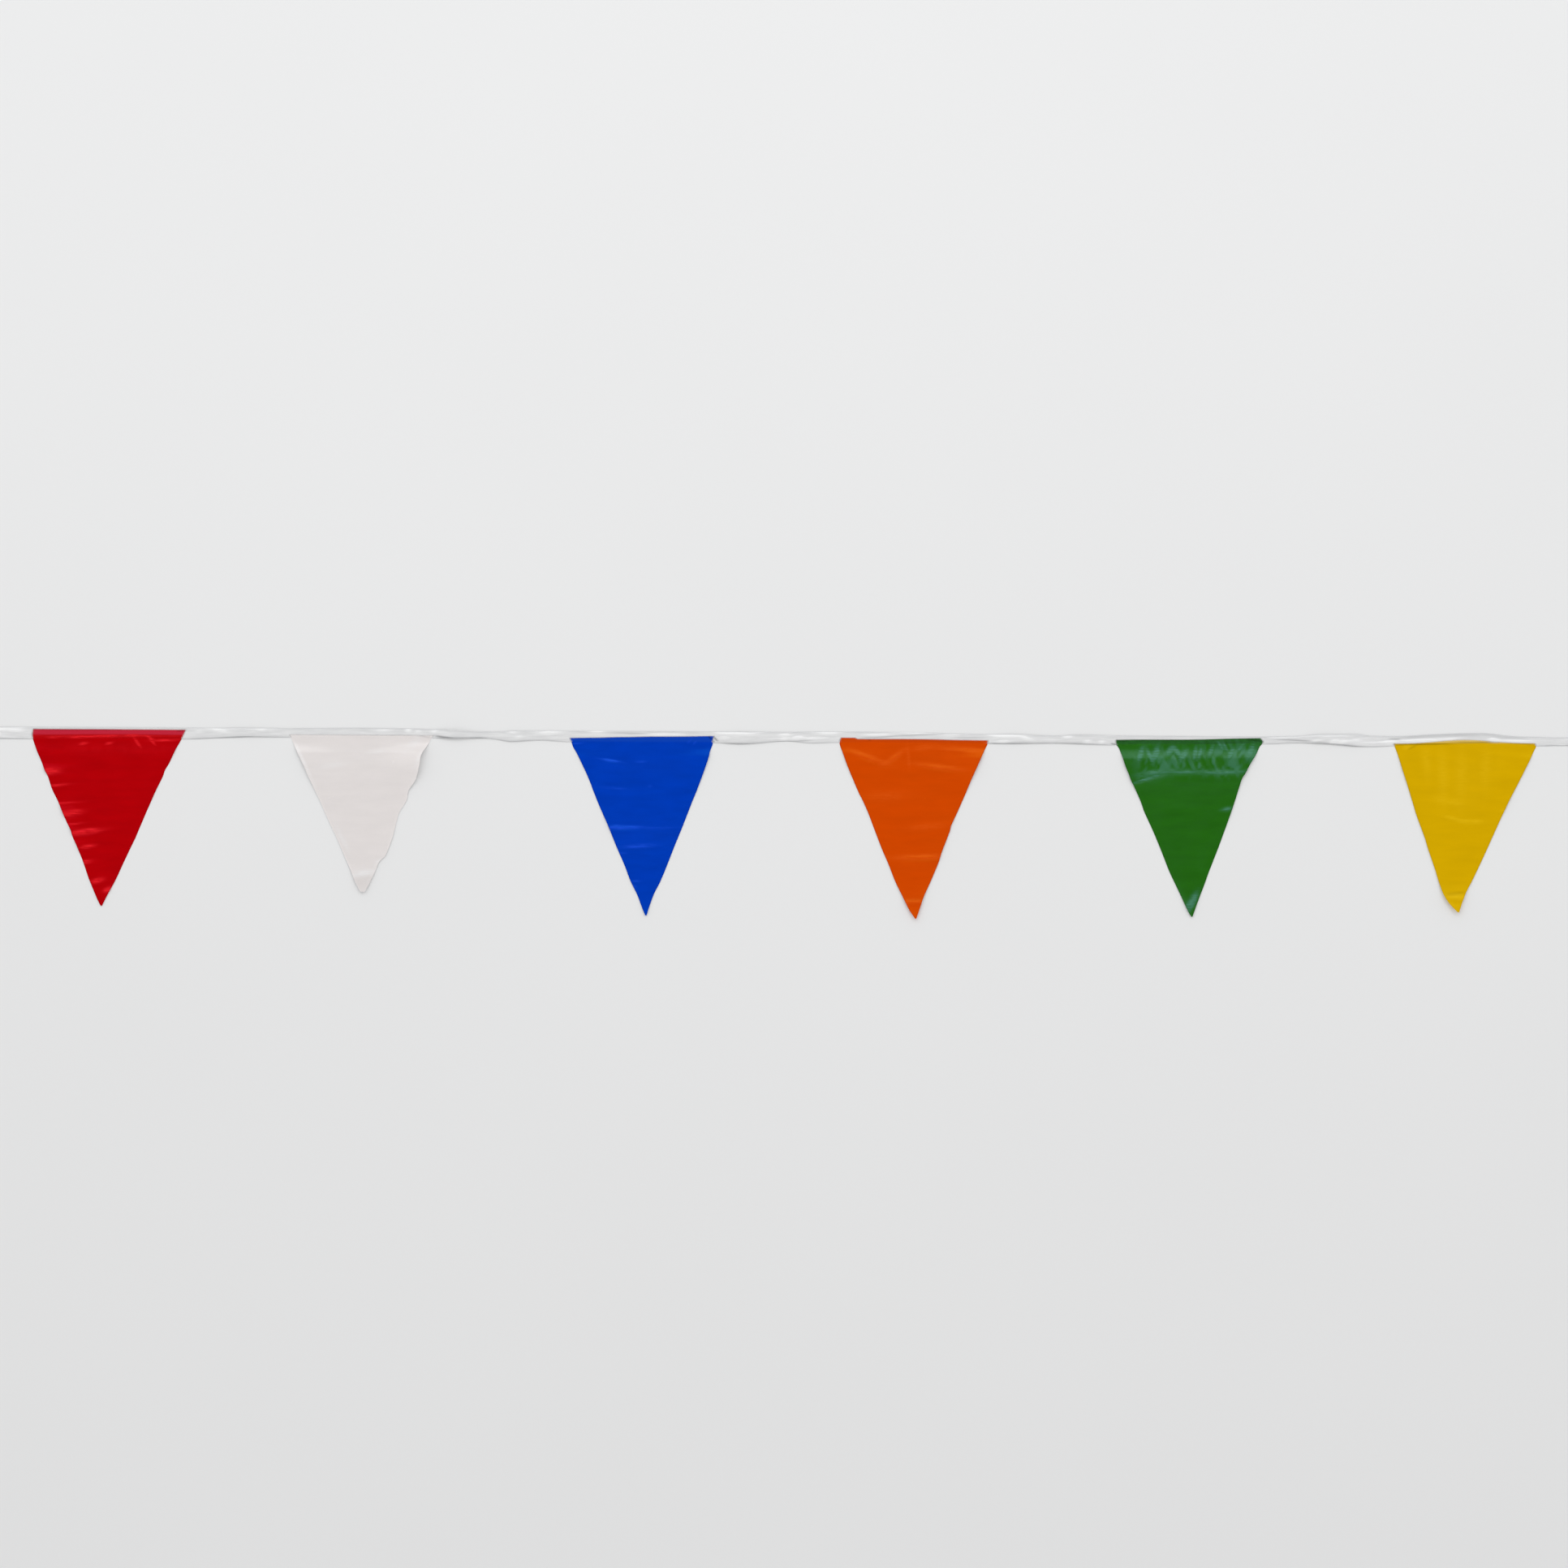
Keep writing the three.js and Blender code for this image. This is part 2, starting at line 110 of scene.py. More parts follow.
# Seeds of the noise. Each piece draws its waves from a few seeds in a row.
PENNANT_SEED = 100
SEED_STEP = 10
TAPE_SEED = 11


def table(columns, rows):
    """Rows of numbers as one array for each named column."""
    values = np.array(rows, float)
    return {name: values[:, i] for i, name in enumerate(columns.split())}


# The tape, station by station: where its folded edge and its layers' free edges run, and how
# far it stands off the surface
TAPE = table("x fold front back lift", [
    [-1072, 13.8, -2.0, -2.8, 0],
    [-1040, 13.8, -2.0, -2.8, 0],
    [-1011, 13.7, -2.2, -3.0, 0],
    [-900, 13.3, -1.8, -2.8, 0],
    [-805, 12.5, -2.6, -3.4, 0],
    [-766, 12.1, -1.2, -2.1, 0],
    [-728, 12.1, 0.4, -0.3, 0.8],
    [-673, 11.8, -0.4, 1.4, 0],
    [-568, 12.2, -1.4, 0.8, 0],
    [-472, 10.5, -1.4, 0.6, 0],
    [-444, 8.4, -1.6, -1.0, 3.4],
    [-411, 6.7, -1.2, -1.6, 1.0],
    [-389, 7.2, -3.0, -2.4, 0],
    [-367, 7.9, -6.0, -4.6, 0.6],
    [-329, 8.5, -4.4, -3.6, 0],
    [-288, 8.3, -6.6, -5.2, 0],
    [-190, 7.9, -7.2, -5.8, 0],
    [-95, 7.3, -7.8, -6.6, 0],
    [-59, 6.8, -9.4, -8.0, 0.8],
    [4, 6.6, -5.6, -6.0, 0],
    [37, 7.1, -8.2, -6.8, 0],
    [75, 7.1, -7.4, -6.6, 0],
    [177, 6.0, -8.2, -7.2, 0],
    [275, 3.8, -9.2, -8.0, 0],
    [310, 3.6, -8.7, -9.2, 0.8],
    [365, 1.8, -8.6, -8.0, 0],
    [398, 2.8, -9.3, -8.6, 0.6],
    [447, 2.0, -11.0, -9.8, 0],
    [549, 1.1, -10.8, -9.4, 0],
    [646, 0.4, -9.6, -8.4, 0],
    [693, 1.2, -8.0, -8.4, 0],
    [720, 3.0, -8.6, -8.2, 1.2],
    [748, 3.2, -10.6, -9.8, 1.0],
    [769, 3.7, -12.6, -11.6, 0.6],
    [791, 1.6, -13.2, -12.4, 0],
    [822, 0.9, -12.0, -11.2, 0],
    [868, 3.1, -10.8, -10.6, 0],
    [935, 5.2, -10.2, -10.4, 0],
    [988, 0.6, -11.2, -11.6, 0],
    [1021, -0.3, -12.0, -12.6, 0],
    [1040, -0.9, -11.4, -12.2, 0],
    [1072, -0.9, -11.4, -12.2, 0],
])

# Pennants. left, right and tip are the corners, bow is how far the top edge rises halfway, tab
# is how far it stands up at its left end, and pucker is how strongly its sheens are puckered.
# A row of edges is one level: down is below the top corners, left and right are how far the
# cut edges stray to the right of straight, and the lifts are heights off the surface.
EDGES = "down left right leftLift midLift rightLift"
# A row of creases is one soft ridge: the middle of its crest, its half length, its direction
# in degrees, its half width and its height.
CREASES = "x y length turn width rise"
# A streak is a line or patch drawn on a film, placed as a crease is. Shades are painted shade,
# dark lines where a fold or the tape's edge would shade the film, and sheens are painted
# highlights where the film would catch the light.
STREAK = "x y length turn width strength"

PENNANTS = [
    {
        "node": "pennant_red",
        "slot": "film_red",
        "left": (-1011, 11.2),
        "right": (-805, 9.9),
        "tip": (-919.2, -227.3),
        "bow": 0,
        "pucker": 0.2,
        "tab": 0,
        "edges": table(EDGES, [
            [0, -0.3, 0, 0, 0, 0],
            [11, -5.6, 0, 0.4, 0, 0.6],
            [28, -6.4, -1.3, 1.2, 0, 1.0],
            [45, -5.9, -1.1, 0.4, 0, 0.2],
            [55, -5.9, -2.2, 2.0, 0, 0],
            [64, -5.1, -1.0, 0.2, 0, 0],
            [81, -5.9, -1.3, 0.4, 0, 0.6],
            [98, -4.3, -0.7, 0.4, 0, 0.4],
            [111, -3.8, -0.2, 2.2, 0, 0],
            [125, -3.5, 0.6, 0.2, 0, 0],
            [137, -2.1, 1.2, 1.8, 0, 0],
            [147, -3.1, 1.9, 0.2, 0, 0],
            [157, -2.1, 1.8, 1.4, 0, 0],
            [177, -1.9, 1.9, 0, 0, 0],
            [203, -2.9, 2.4, 0.4, 0, 0.4],
            [229, -1.5, 0.4, 0.8, 0.6, 0.8],
            [240, 0, 0, 1.0, 1.0, 1.0],
        ]),
        "creases": table(CREASES, [
            [-989.2, -48.1, 12, 5, 3.4, 0.9],
            [-964, -104.4, 15, 6, 3.3, 0.9],
            [-943.3, -129.5, 19, 7, 2.8, 1.1],
            [-937.8, -148.6, 9, 7, 2, 0.6],
            [-941.1, -169.7, 8, 10, 2.1, 0.7],
            [-924.7, -195.1, 8, 12, 2.8, 0.7],
            [-909.4, -207.1, 6, 17, 2.8, 0.7],
            [-982.6, -1.1, 8, 3, 1.3, 0.35],
            [-950.4, -1, 14, 1, 1.4, 0.5],
            [-910.5, 0.3, 21, 2, 1.4, 0.5],
            [-877.1, 1.6, 8, 4, 1.3, 0.4],
            [-854.7, -1.4, 6, -25, 1.4, 0.4],
            [-833.4, -5.4, 18, 2, 1.4, 0.5],
            [-943.3, -9.9, 6, 10, 1.7, 0.5],
            [-908.8, -9.3, 5, 13, 1.5, 0.5],
            [-871.1, -9, 7, -53, 1.7, 0.6],
            [-850.9, -7.4, 5, -47, 1.5, 0.5],
            [-908, 0.8, 88, 0, 0.8, 0.3],
            [-980, -66, 16, 5, 1.5, 0.4],
            [-972, -90, 22, 4, 1.3, 0.35],
            [-958, -118, 14, 6, 1.2, 0.3],
        ]),
        "shades": table(STREAK, [
            [-920, 10.4, 92, 0, 1.0, 0.6],
            [-812, 8.4, 6, 8, 0.9, 0.5],
        ]),
        "sheens": table(STREAK, [
            [-975, -110, 26, 66, 14, 0.35],
            [-900, -16, 80, 0, 8, 0.35],
        ]),
    },
    {
        "node": "pennant_white",
        "slot": "film_white",
        "left": (-665.6, 3.3),
        "right": (-472.2, 2.2),
        "tip": (-567.3, -208.2),
        "bow": 0,
        "pucker": 0.1,
        "tab": 0,
        "edges": table(EDGES, [
            [0, 0, 0, 0, 0, 0],
            [15, -0.6, -2.2, 1.6, 0, 5.0],
            [25, -0.5, -3.9, 3.0, 0.6, 8.6],
            [41, -0.3, 0.2, 3.4, 1.0, 10.0],
            [60, -0.9, 3.2, 2.4, 1.0, 4.6],
            [75, -1.0, 0.2, 1.4, 0.6, 1.8],
            [89, -0.8, 3.4, 0.8, 0.4, 1.0],
            [106, -1.4, 0.9, 0.6, 0.2, 0.8],
            [116, -1.5, 2.7, 0.6, 0.2, 0.8],
            [145, -1.5, 7.8, 0.6, 0.4, 1.4],
            [162, -2.3, 8.6, 0.8, 0.6, 1.4],
            [173, -2.6, 3.8, 1.0, 0.8, 1.2],
            [182, -2.8, 4.4, 1.4, 1.4, 1.4],
            [198, -3.4, 3.6, 2.4, 2.6, 2.4],
            [212, -2.0, 2.0, 4.0, 4.4, 4.2],
        ]),
        "creases": table(CREASES, [
            [-658, -18.6, 9, -60, 3.3, 0.28],
            [-549.8, -22.4, 12, 8, 3.3, 0.2],
            [-605, -39.9, 19, 8, 4.4, 0.2],
            [-489.1, -29.5, 11, 63, 2.8, 0.32],
            [-544.3, -170.5, 6, 31, 3.3, 0.32],
            [-567.3, -186.4, 17, 9, 4.4, 0.48],
            [-596.2, -138.8, 17, -65, 3.3, 0.24],
            [-492.4, -7.7, 16, 44, 5.5, 0.24],
            [-646.3, -35.7, 26, -65, 1.5, 0.4],
        ]),
        "shades": table(STREAK, [
            [-484, 0.4, 9, -8, 1.1, 0.25],
            [-567, -199, 18, 0, 12, 0.13],
        ]),
        "sheens": table(STREAK, [
            [-570, -30, 60, 0, 16, 0.18],
        ]),
    },
    {
        "node": "pennant_blue",
        "slot": "film_blue",
        "left": (-288, -1.1),
        "right": (-95.1, 1.5),
        "tip": (-185.8, -240.5),
        "bow": 0.4,
        "pucker": 0.1,
        "tab": 0,
        "edges": table(EDGES, [
            [0, -1.0, 0.9, 0, 0, 0],
            [6, -0.7, 1.8, 0, 0, 0],
            [12, -1.3, 3.4, 0.2, 0, 0.6],
            [20, -0.1, 3.3, 0.6, 0, 1.6],
            [28, 0.6, 4.5, 1.0, 0, 2.0],
            [55, 1.5, 5.3, 0.6, 0, 1.4],
            [72, 0.7, 5.3, 0.4, 0, 1.0],
            [90, 0.2, 4.7, 0.6, 0, 0.6],
            [117, 0.5, 4.4, 1.2, 0, 0.4],
            [151, -0.2, 3.3, 0.6, 0, 0.4],
            [168, 0, 3.1, 0.4, 0, 0.4],
            [194, -1.0, 2.1, 0.8, 0, 0.4],
            [212, 0.1, -0.3, 0.6, 0.4, 0.6],
            [230, -0.2, -0.6, 1.4, 1.2, 1.4],
            [241, 0, 0, 2.2, 2.2, 2.2],
        ]),
        "creases": table(CREASES, [
            [-278.7, -9.3, 8, 4, 1, 0.32],
            [-232.8, -32.8, 14, -9, 1.6, 0.56],
            [-192.4, -34.2, 7, 2, 1.4, 0.28],
            [-213.7, -123.2, 21, 2, 1.9, 0.72],
            [-195.6, -148.6, 21, 3, 2.6, 0.4],
            [-198.9, -194.8, 6, 3, 1.2, 0.36],
            [-126.8, -6.3, 3, 41, 1, 0.32],
            [-119.7, -8.2, 3, 45, 1, 0.32],
            [-180.3, -67.2, 3, 9, 1.2, 0.28],
            [-221.9, -157.7, 8, 2, 1.4, 0.36],
            [-202.8, -202.8, 4, 8, 1.3, 0.32],
            [-226, -120.8, 10, 2, 1.2, 0.5],
            [-170, -124, 26, 2, 1.6, 0.2],
            [-228, -70, 20, -4, 1.6, 0.2],
        ]),
        "shades": table(STREAK, [
            [-99, -1.5, 4, -40, 1.0, 0.8],
            [-190, 0.2, 70, 0, 0.7, 0.35],
        ]),
        "sheens": table(STREAK, [
            [-190, -130, 46, 2, 16, 0.35],
            [-188, -40, 60, 0, 12, 0.25],
        ]),
    },
    {
        "node": "pennant_orange",
        "slot": "film_orange",
        "left": (75.4, -2.2),
        "right": (275.4, -4.4),
        "tip": (177.1, -244.8),
        "bow": 0.6,
        "pucker": 0.15,
        "tab": 1.5,
        "edges": table(EDGES, [
            [0, 1.3, -0.4, 0, 0, 0],
            [6, -3.1, 0.8, 0, 0, 0],
            [12, -4.1, 0.3, 0.8, 0, 1.6],
            [20, -4.4, -0.1, 1.4, 0, 3.0],
            [37, -5.4, -0.7, 1.2, 0, 3.4],
            [55, -5.5, -1.4, 0.8, 0, 2.2],
            [72, -5.5, -1.5, 0.4, 0, 1.2],
            [81, -4.6, -1.7, 0.6, 0, 0.8],
            [98, -4.0, -2.2, 0.8, 0, 0.8],
            [116, -4.7, -3.2, 0.4, 0, 1.6],
            [125, -5.1, -1.9, 0.4, 0, 1.2],
            [151, -5.9, -1.4, 0.6, 0, 1.8],
            [168, -5.7, 0.1, 0.6, 0, 1.0],
            [190, -6.3, -0.1, 0.8, 0.4, 1.0],
            [212, -5.0, -1.0, 1.8, 1.6, 2.2],
            [229, -3.4, -0.4, 3.4, 3.2, 3.6],
            [242, 0, 0, 5.0, 5.0, 5.0],
        ]),
        "creases": table(CREASES, [
            [112, -29, 26, -21, 3.9, 0.75],
            [149.2, -29, 16, 36, 3.5, 0.8],
            [166.1, -26.8, 13, -85, 2.2, 0.5],
            [186.9, -16.9, 12, 8, 3.3, 0.6],
            [233.9, -18, 37, -4, 3.3, 0.75],
            [208.2, -42.1, 33, -7, 3.5, 0.7],
            [179.3, -163.7, 33, 2, 3.5, 0.8],
            [194.6, -163.4, 15, 2, 2.8, 0.4],
            [174.3, -223.2, 15, 1, 3.3, 0.7],
            [205.5, -179.8, 5, 21, 2.2, 0.4],
            [137.2, -83.1, 31, 2, 6.6, 0.35],
            [191.3, -123.5, 27, 5, 4.4, 0.4],
        ]),
        "shades": table(STREAK, [
            [113, -2.8, 4, -30, 0.9, 0.6],
            [190, -4.6, 70, -1, 0.6, 0.3],
            [178, -219, 14, 2, 1.6, 0.12],
        ]),
        "sheens": table(STREAK, [
            [112, -22, 34, -14, 9, 0.5],
            [230, -28, 42, -4, 11, 0.55],
            [180, -170, 30, 3, 12, 0.3],
        ]),
    },
    {
        "node": "pennant_green",
        "slot": "film_green",
        "left": (447, -3.6),
        "right": (646, -1.4),
        "tip": (549.2, -242.1),
        "bow": -0.8,
        "pucker": 1,
        "tab": 0,
        "edges": table(EDGES, [
            [0, -0.6, -4.3, 0, 0, 0],
            [6, -2.5, 1.8, 0, 0, 0],
            [12, -1.0, -0.7, 1.6, 1.0, 1.0],
            [20, -1.2, -1.2, 2.0, 1.6, 1.8],
            [37, -2.7, -4.6, 2.6, 2.4, 2.8],
            [46, -2.9, -5.5, 2.6, 2.7, 3.0],
            [55, -3.4, -7.4, 2.3, 2.5, 2.7],
            [64, -2.8, -6.7, 1.8, 1.9, 2.2],
            [81, -2.4, -5.0, 0.9, 0.8, 1.2],
            [98, -3.5, -3.8, 0.4, 0, 1.4],
            [125, -2.8, -2.5, 0.4, 0, 0.6],
            [151, -3.2, -1.6, 0.6, 0, 0.4],
            [177, -4.2, -1.3, 0.4, 0, 0.4],
            [203, -3.1, -0.4, 0.8, 0.2, 0.6],
            [229, -1.8, -0.4, 1.8, 1.4, 1.6],
            [240, 0, 0, 2.4, 2.4, 2.4],
        ]),
        "creases": table(CREASES, [
            [496.2, -50.3, 22, 8, 3.2, 0.4],
            [489.1, -57.4, 19, 17, 1.6, 0.7],
            [534.5, -48.9, 16, 1, 3.2, 0.3],
            [589.1, -49.2, 38, 1, 3.2, 0.4],
            [481.5, -24, 9, 73, 2.8, 0.7],
            [491.3, -26.2, 10, -66, 2.4, 0.5],
            [502.8, -23, 10, 72, 3.5, 0.7],
            [521.4, -19.7, 6, 53, 3.3, 0.8],
            [527.9, -20.8, 6, -59, 2.8, 0.7],
            [538.8, -27.3, 9, 60, 3.3, 0.7],
            [554.7, -22.4, 8, 79, 2.2, 0.7],
            [561.3, -21.9, 7, 76, 2, 0.6],
            [576.6, -19.1, 8, 69, 2.4, 0.7],
            [586.9, -12.6, 6, -56, 2, 0.6],
            [593, -13.7, 6, -61, 2, 0.5],
            [603.3, -23, 7, 63, 2.6, 0.7],
            [616.5, -14.8, 7, 48, 2.4, 0.6],
            [629.6, -21.3, 10, 65, 3.3, 0.7],
            [596.8, -98.4, 7, 9, 2.2, 0.5],
            [549.8, -225.2, 13, 59, 3.9, 0.9],
        ]),
        "shades": table(STREAK, [
            [634, -4.4, 12, -6, 1.4, 0.6],
            [456, -5.4, 9, 0, 1.2, 0.5],
            [512, -4.8, 44, 0, 0.8, 0.45],
            [588, -8.4, 44, 1, 0.8, 0.35],
        ]),
        "sheens": table(STREAK, [
            [507, -27, 36, 0, 15, 0.7],
            [556, -40, 70, 0, 10, 0.6],
            [600, -22, 42, 0, 15, 0.95],
            [494, -50, 22, 14, 8, 0.55],
            [596, -44, 44, 0, 9, 0.6],
        ]),
    },
    {
        "node": "pennant_yellow",
        "slot": "film_yellow",
        "left": (821.9, -8.8),
        "right": (1012.1, -8.4),
        "tip": (907.2, -236.1),
        "bow": 4.8,
        "pucker": 0.1,
        "tab": 0,
        "edges": table(EDGES, [
            [0, -1.2, -0.8, 0, 0, 0],
            [6, -1.2, 3.0, 0, 0, 0],
            [12, -1.1, 2.7, 0.4, 0, 0.8],
            [20, -1.5, 2.7, 0.8, 0, 1.4],
            [37, -2.6, 2.1, 1.2, 0, 1.6],
            [55, -3.5, 1.4, 1.0, 0, 1.2],
            [81, -5.4, -0.1, 0.6, 0, 2.0],
            [98, -6.6, -0.2, 0.6, 0, 1.2],
            [125, -6.8, 0.1, 0.8, 0, 0.8],
            [142, -8.0, 0.4, 0.8, 0, 0.6],
            [168, -8.9, 0.3, 0.8, 0, 0.6],
            [186, -10.2, -0.2, 1.4, 0.6, 1.2],
            [200, -10.7, -1.4, 3.0, 2.2, 2.4],
            [212, -8.5, -1.2, 5.0, 4.0, 4.0],
            [228, 0, 0, 7.0, 7.0, 7.0],
        ]),
        "creases": table(CREASES, [
            [840, -11.2, 5, 12, 1.5, 0.9],
            [841.1, -15.3, 7, 17, 2.2, 0.6],
            [901.7, -111.5, 13, -15, 2.6, 0.5],
            [925.8, -115.3, 14, -2, 2.6, 0.6],
            [967.9, -100.3, 5, 9, 2, 0.5],
            [906.1, -217.5, 12, -5, 3.7, 1.1],
            [892.4, -89.6, 19, -10, 5.5, 0.3],
            [882.1, -48.6, 36, -88, 7.7, 0.35],
            [917.6, -52.5, 37, 89, 8.7, 0.35],
            [949.3, -43.2, 30, 87, 7.7, 0.35],
            [861.3, -33.9, 23, -85, 6.6, 0.3],
        ]),
        "shades": table(STREAK, [
            [858, -9.8, 44, 1, 1.0, 0.75],
            [933, -7.4, 32, 0, 0.9, 0.7],
            [992, -9, 20, -3, 0.9, 0.5],
            [846, -14.2, 6, 25, 0.9, 0.4],
            [903, -211, 13, 6, 2.6, 0.3],
        ]),
        "sheens": table(STREAK, [
            [884, -50, 40, -88, 8, 0.5],
            [930, -60, 42, 88, 9, 0.5],
            [962, -36, 26, 80, 7, 0.4],
        ]),
    },
]

# Streaks along the tape's upper layer, where it is pinched into sharp creases that rise a little
# and carry painted glints
STREAKS = table(STREAK, [
    [-1057.5, 9.6, 9, 2, 1.7, 1],
    [-1035.1, 8.4, 12, -2, 1.6, 1],
    [-1047.6, 1, 17, -6, 1.4, 0.5],
    [-787.5, 6.8, 6, -3, 1.7, 0.5],
    [-759.1, 8.5, 11, -8, 1.8, 1],
    [-703.3, 9.3, 6, 0, 1.7, 0.5],
    [-538.8, 8.3, 12, 1, 1.4, 0.6],
    [-506.1, 8, 4, -1, 2.1, 1],
    [-492.9, 7, 4, 0, 1.4, 0.7],
    [-470.5, 6.6, 5, 0, 1.6, 0.8],
    [-365.1, 5.5, 7, 0, 1.6, 0.7],
    [-356.9, -0.3, 6, 3, 1.4, 0.5],
    [-313.7, 5.1, 19, 2, 1.6, 0.8],
    [-317.5, 5.5, 5, 0, 2.1, 1],
    [-251.4, 3.7, 26, 1, 1.4, 0.6],
    [-251.4, 7, 11, 1, 1.4, 0.9],
    [-158.5, 2.7, 34, 0, 1.4, 0.9],
    [-62.3, 4, 30, -1, 1.8, 1],
    [-79.8, -0.8, 8, -2, 2, 0.8],
    [0.5, 2, 9, 2, 1.8, 0.9],
    [1.1, -2.2, 6, 5, 1.8, 0.8],
    [18.6, -1.4, 8, 4, 2.1, 1],
    [59, 4.4, 18, 1, 1.7, 0.9],
    [125.7, 2.4, 21, 1, 1.4, 0.8],
    [176, 5.2, 25, 0, 1.4, 0.7],
    [223, 2.1, 22, -1, 1.4, 0.6],
    [298.4, 0.7, 23, -1, 1.8, 1],
    [325.2, -2.2, 8, -12, 1.7, 0.9],
    [294.6, -6, 10, 2, 1.6, 0.9],
    [382, -0.8, 7, 1, 1.6, 0.8],
    [408.8, -6.1, 6, 2, 1.6, 0.7],
    [427.4, -6.9, 4, 1, 1.7, 0.8],
    [717, -4.8, 9, 7, 1.4, 0.7],
    [740.5, -6.1, 6, 10, 2, 1],
    [752, -7.1, 7, 5, 1.7, 1],
    [768.4, -5.4, 8, 4, 1.7, 0.8],
    [814.8, -7, 7, 2, 1.6, 0.9],
    [855.8, -5.1, 30, 2, 1.6, 0.9],
    [898.4, -3, 13, 3, 1.4, 0.5],
    [955.3, -4.3, 7, -5, 2.2, 1],
    [985.9, -5.9, 24, -1, 1.4, 0.7],
    [1046.5, -11.5, 8, -2, 1.4, 0.6],
])

# Painted shadow lines where the tape's lower edge stands off the surface, where the tape is
# pinched, and where it sags above a pennant
SHADES = table(STREAK, [
    [-457, -0.6, 13, -9, 1.4, 1],
    [-430, -2.6, 20, -2, 1.2, 0.5],
    [-247, 5.0, 30, 0, 0.8, 0.45],
    [-197, 4.5, 30, -2, 0.8, 0.5],
    [-145, 3.7, 28, 1, 0.8, 0.45],
    [-95, -6, 2, -30, 0.8, 0.9],
    [-93, -1.5, 2.5, -40, 0.9, 1],
    [-91, -4, 2.5, -35, 0.8, 1],
    [-60, -9.2, 22, -2, 1.0, 0.5],
    [10, -6, 26, 3, 0.9, 0.5],
    [125, -0.2, 22, 2, 1.2, 0.4],
    [175, 2.2, 38, 2, 0.8, 0.5],
    [225, 2.6, 18, -3, 0.8, 0.4],
    [250, -1.0, 22, 0, 0.8, 0.3],
    [295, -9.2, 17, -1, 1.2, 0.9],
    [360, -8.6, 40, 0, 1.0, 0.4],
    [444, -9.6, 4, -10, 0.9, 0.9],
    [690, -4.5, 30, -3, 1.1, 0.6],
    [760, -12, 34, -6, 1.1, 0.7],
    [822, -3.0, 8, 0, 1.0, 0.5],
    [858, 0.4, 34, 4, 2.4, 0.25],
    [918, 2.4, 30, 1, 2.4, 0.25],
    [972, -0.2, 28, -5, 2.2, 0.2],
])

# Film colours as linear light: the plain film, the painted highlight on the lit flank of a crease,
# and the film seen through the tape. gloss tints the film's reflections, rim is how bright the
# painted shade along its cut edges is against it (a painted highlight on the white film), uneven
# is how far its colour varies, sheen is how strong its painted sheens are, hem is how far above
# the tape's free edge the covered look starts, and alpha is how solid the film is.
FILMS = {
    "film_red": {
        "plain": (0.465, 0.0003, 0.002),
        "painted_crease_highlight": (0.800, 0.014, 0.020),
        "covered": (0.560, 0.020, 0.045),
        "gloss": (1.0, 0.03, 0.08),
        "rim": 0.8,
        "uneven": (0.93, 1.07),
        "sheen": 0.4,
        "hem": 5.5,
        "alpha": 1.0,
    },
    "film_white": {
        "plain": (0.915, 0.865, 0.850),
        "painted_crease_highlight": (0.955, 0.935, 0.935),
        "covered": (0.880, 0.870, 0.865),
        "gloss": (1.0, 1.0, 1.0),
        "rim": 1.06,
        "uneven": (0.98, 1.02),
        "sheen": 0.3,
        "hem": 4.5,
        "alpha": 0.85,
    },
    "film_blue": {
        "plain": (0.0004, 0.043, 0.490),
        "painted_crease_highlight": (0.010, 0.075, 0.700),
        "covered": (0.003, 0.052, 0.480),
        "gloss": (0.03, 0.4, 1.0),
        "rim": 0.8,
        "uneven": (0.93, 1.07),
        "sheen": 0.3,
        "hem": 1.0,
        "alpha": 1.0,
    },
    "film_orange": {
        "plain": (0.680, 0.064, 0.0004),
        "painted_crease_highlight": (0.730, 0.080, 0.004),
        "covered": (0.620, 0.058, 0.0006),
        "gloss": (1.0, 0.5, 0.03),
        "rim": 0.8,
        "uneven": (0.965, 1.035),
        "sheen": 0.5,
        "hem": 0.5,
        "alpha": 1.0,
    },
    "film_green": {
        "plain": (0.015, 0.126, 0.0015),
        "painted_crease_highlight": (0.055, 0.200, 0.115),
        "covered": (0.014, 0.100, 0.010),
        "gloss": (0.5, 1.0, 0.8),
        "rim": 0.8,
        "uneven": (0.93, 1.07),
        "sheen": 0.62,
        "hem": 1.5,
        "alpha": 1.0,
    },
    "film_yellow": {
        "plain": (0.705, 0.415, 0.0004),
        "painted_crease_highlight": (0.760, 0.460, 0.004),
        "covered": (0.780, 0.560, 0.150),
        "gloss": (1.0, 0.8, 0.03),
        "rim": 0.8,
        "uneven": (0.965, 1.035),
        "sheen": 0.6,
        "hem": 2.5,
        "alpha": 1.0,
    },
}

# The widths over which marks on a pennant fade, and how its creases and sheens are lit
RIM_WIDTH = 0.8
COVER_FADE = 1.6
CREASE_SHIFT = 0.6  # the lit flank lies so many widths beside the crest
CREASE_FULL = 0.4  # the rise at which a crease has its full colour
SQUARE_ENDS = 4  # how blunt the shades and sheens end
PLAIN_SHEEN = 0.6
PUCKERED_SHEEN = 0.4
PUCKER_CONTRAST = 1.3

# The same for the tape. It is clear where it lies on a pennant.
CLEAR_SIDE = 3
CLEAR_TOP = 1.5
# The fold line and the lower-edge line are painted shadow along the tape's edges; the lower one is
# darker where the edge is lifted
FOLD_LINE = 0.75  # how strong the line along the fold is
FOLD_LINE_WIDTH = 0.9
LOWER_LINE = 0.5  # where the lower edge lies flat, and 1 where it is lifted
LOWER_LINE_WIDTH = 1.2
PRESSED_LINE = 0.3  # how much of it is left on a pennant

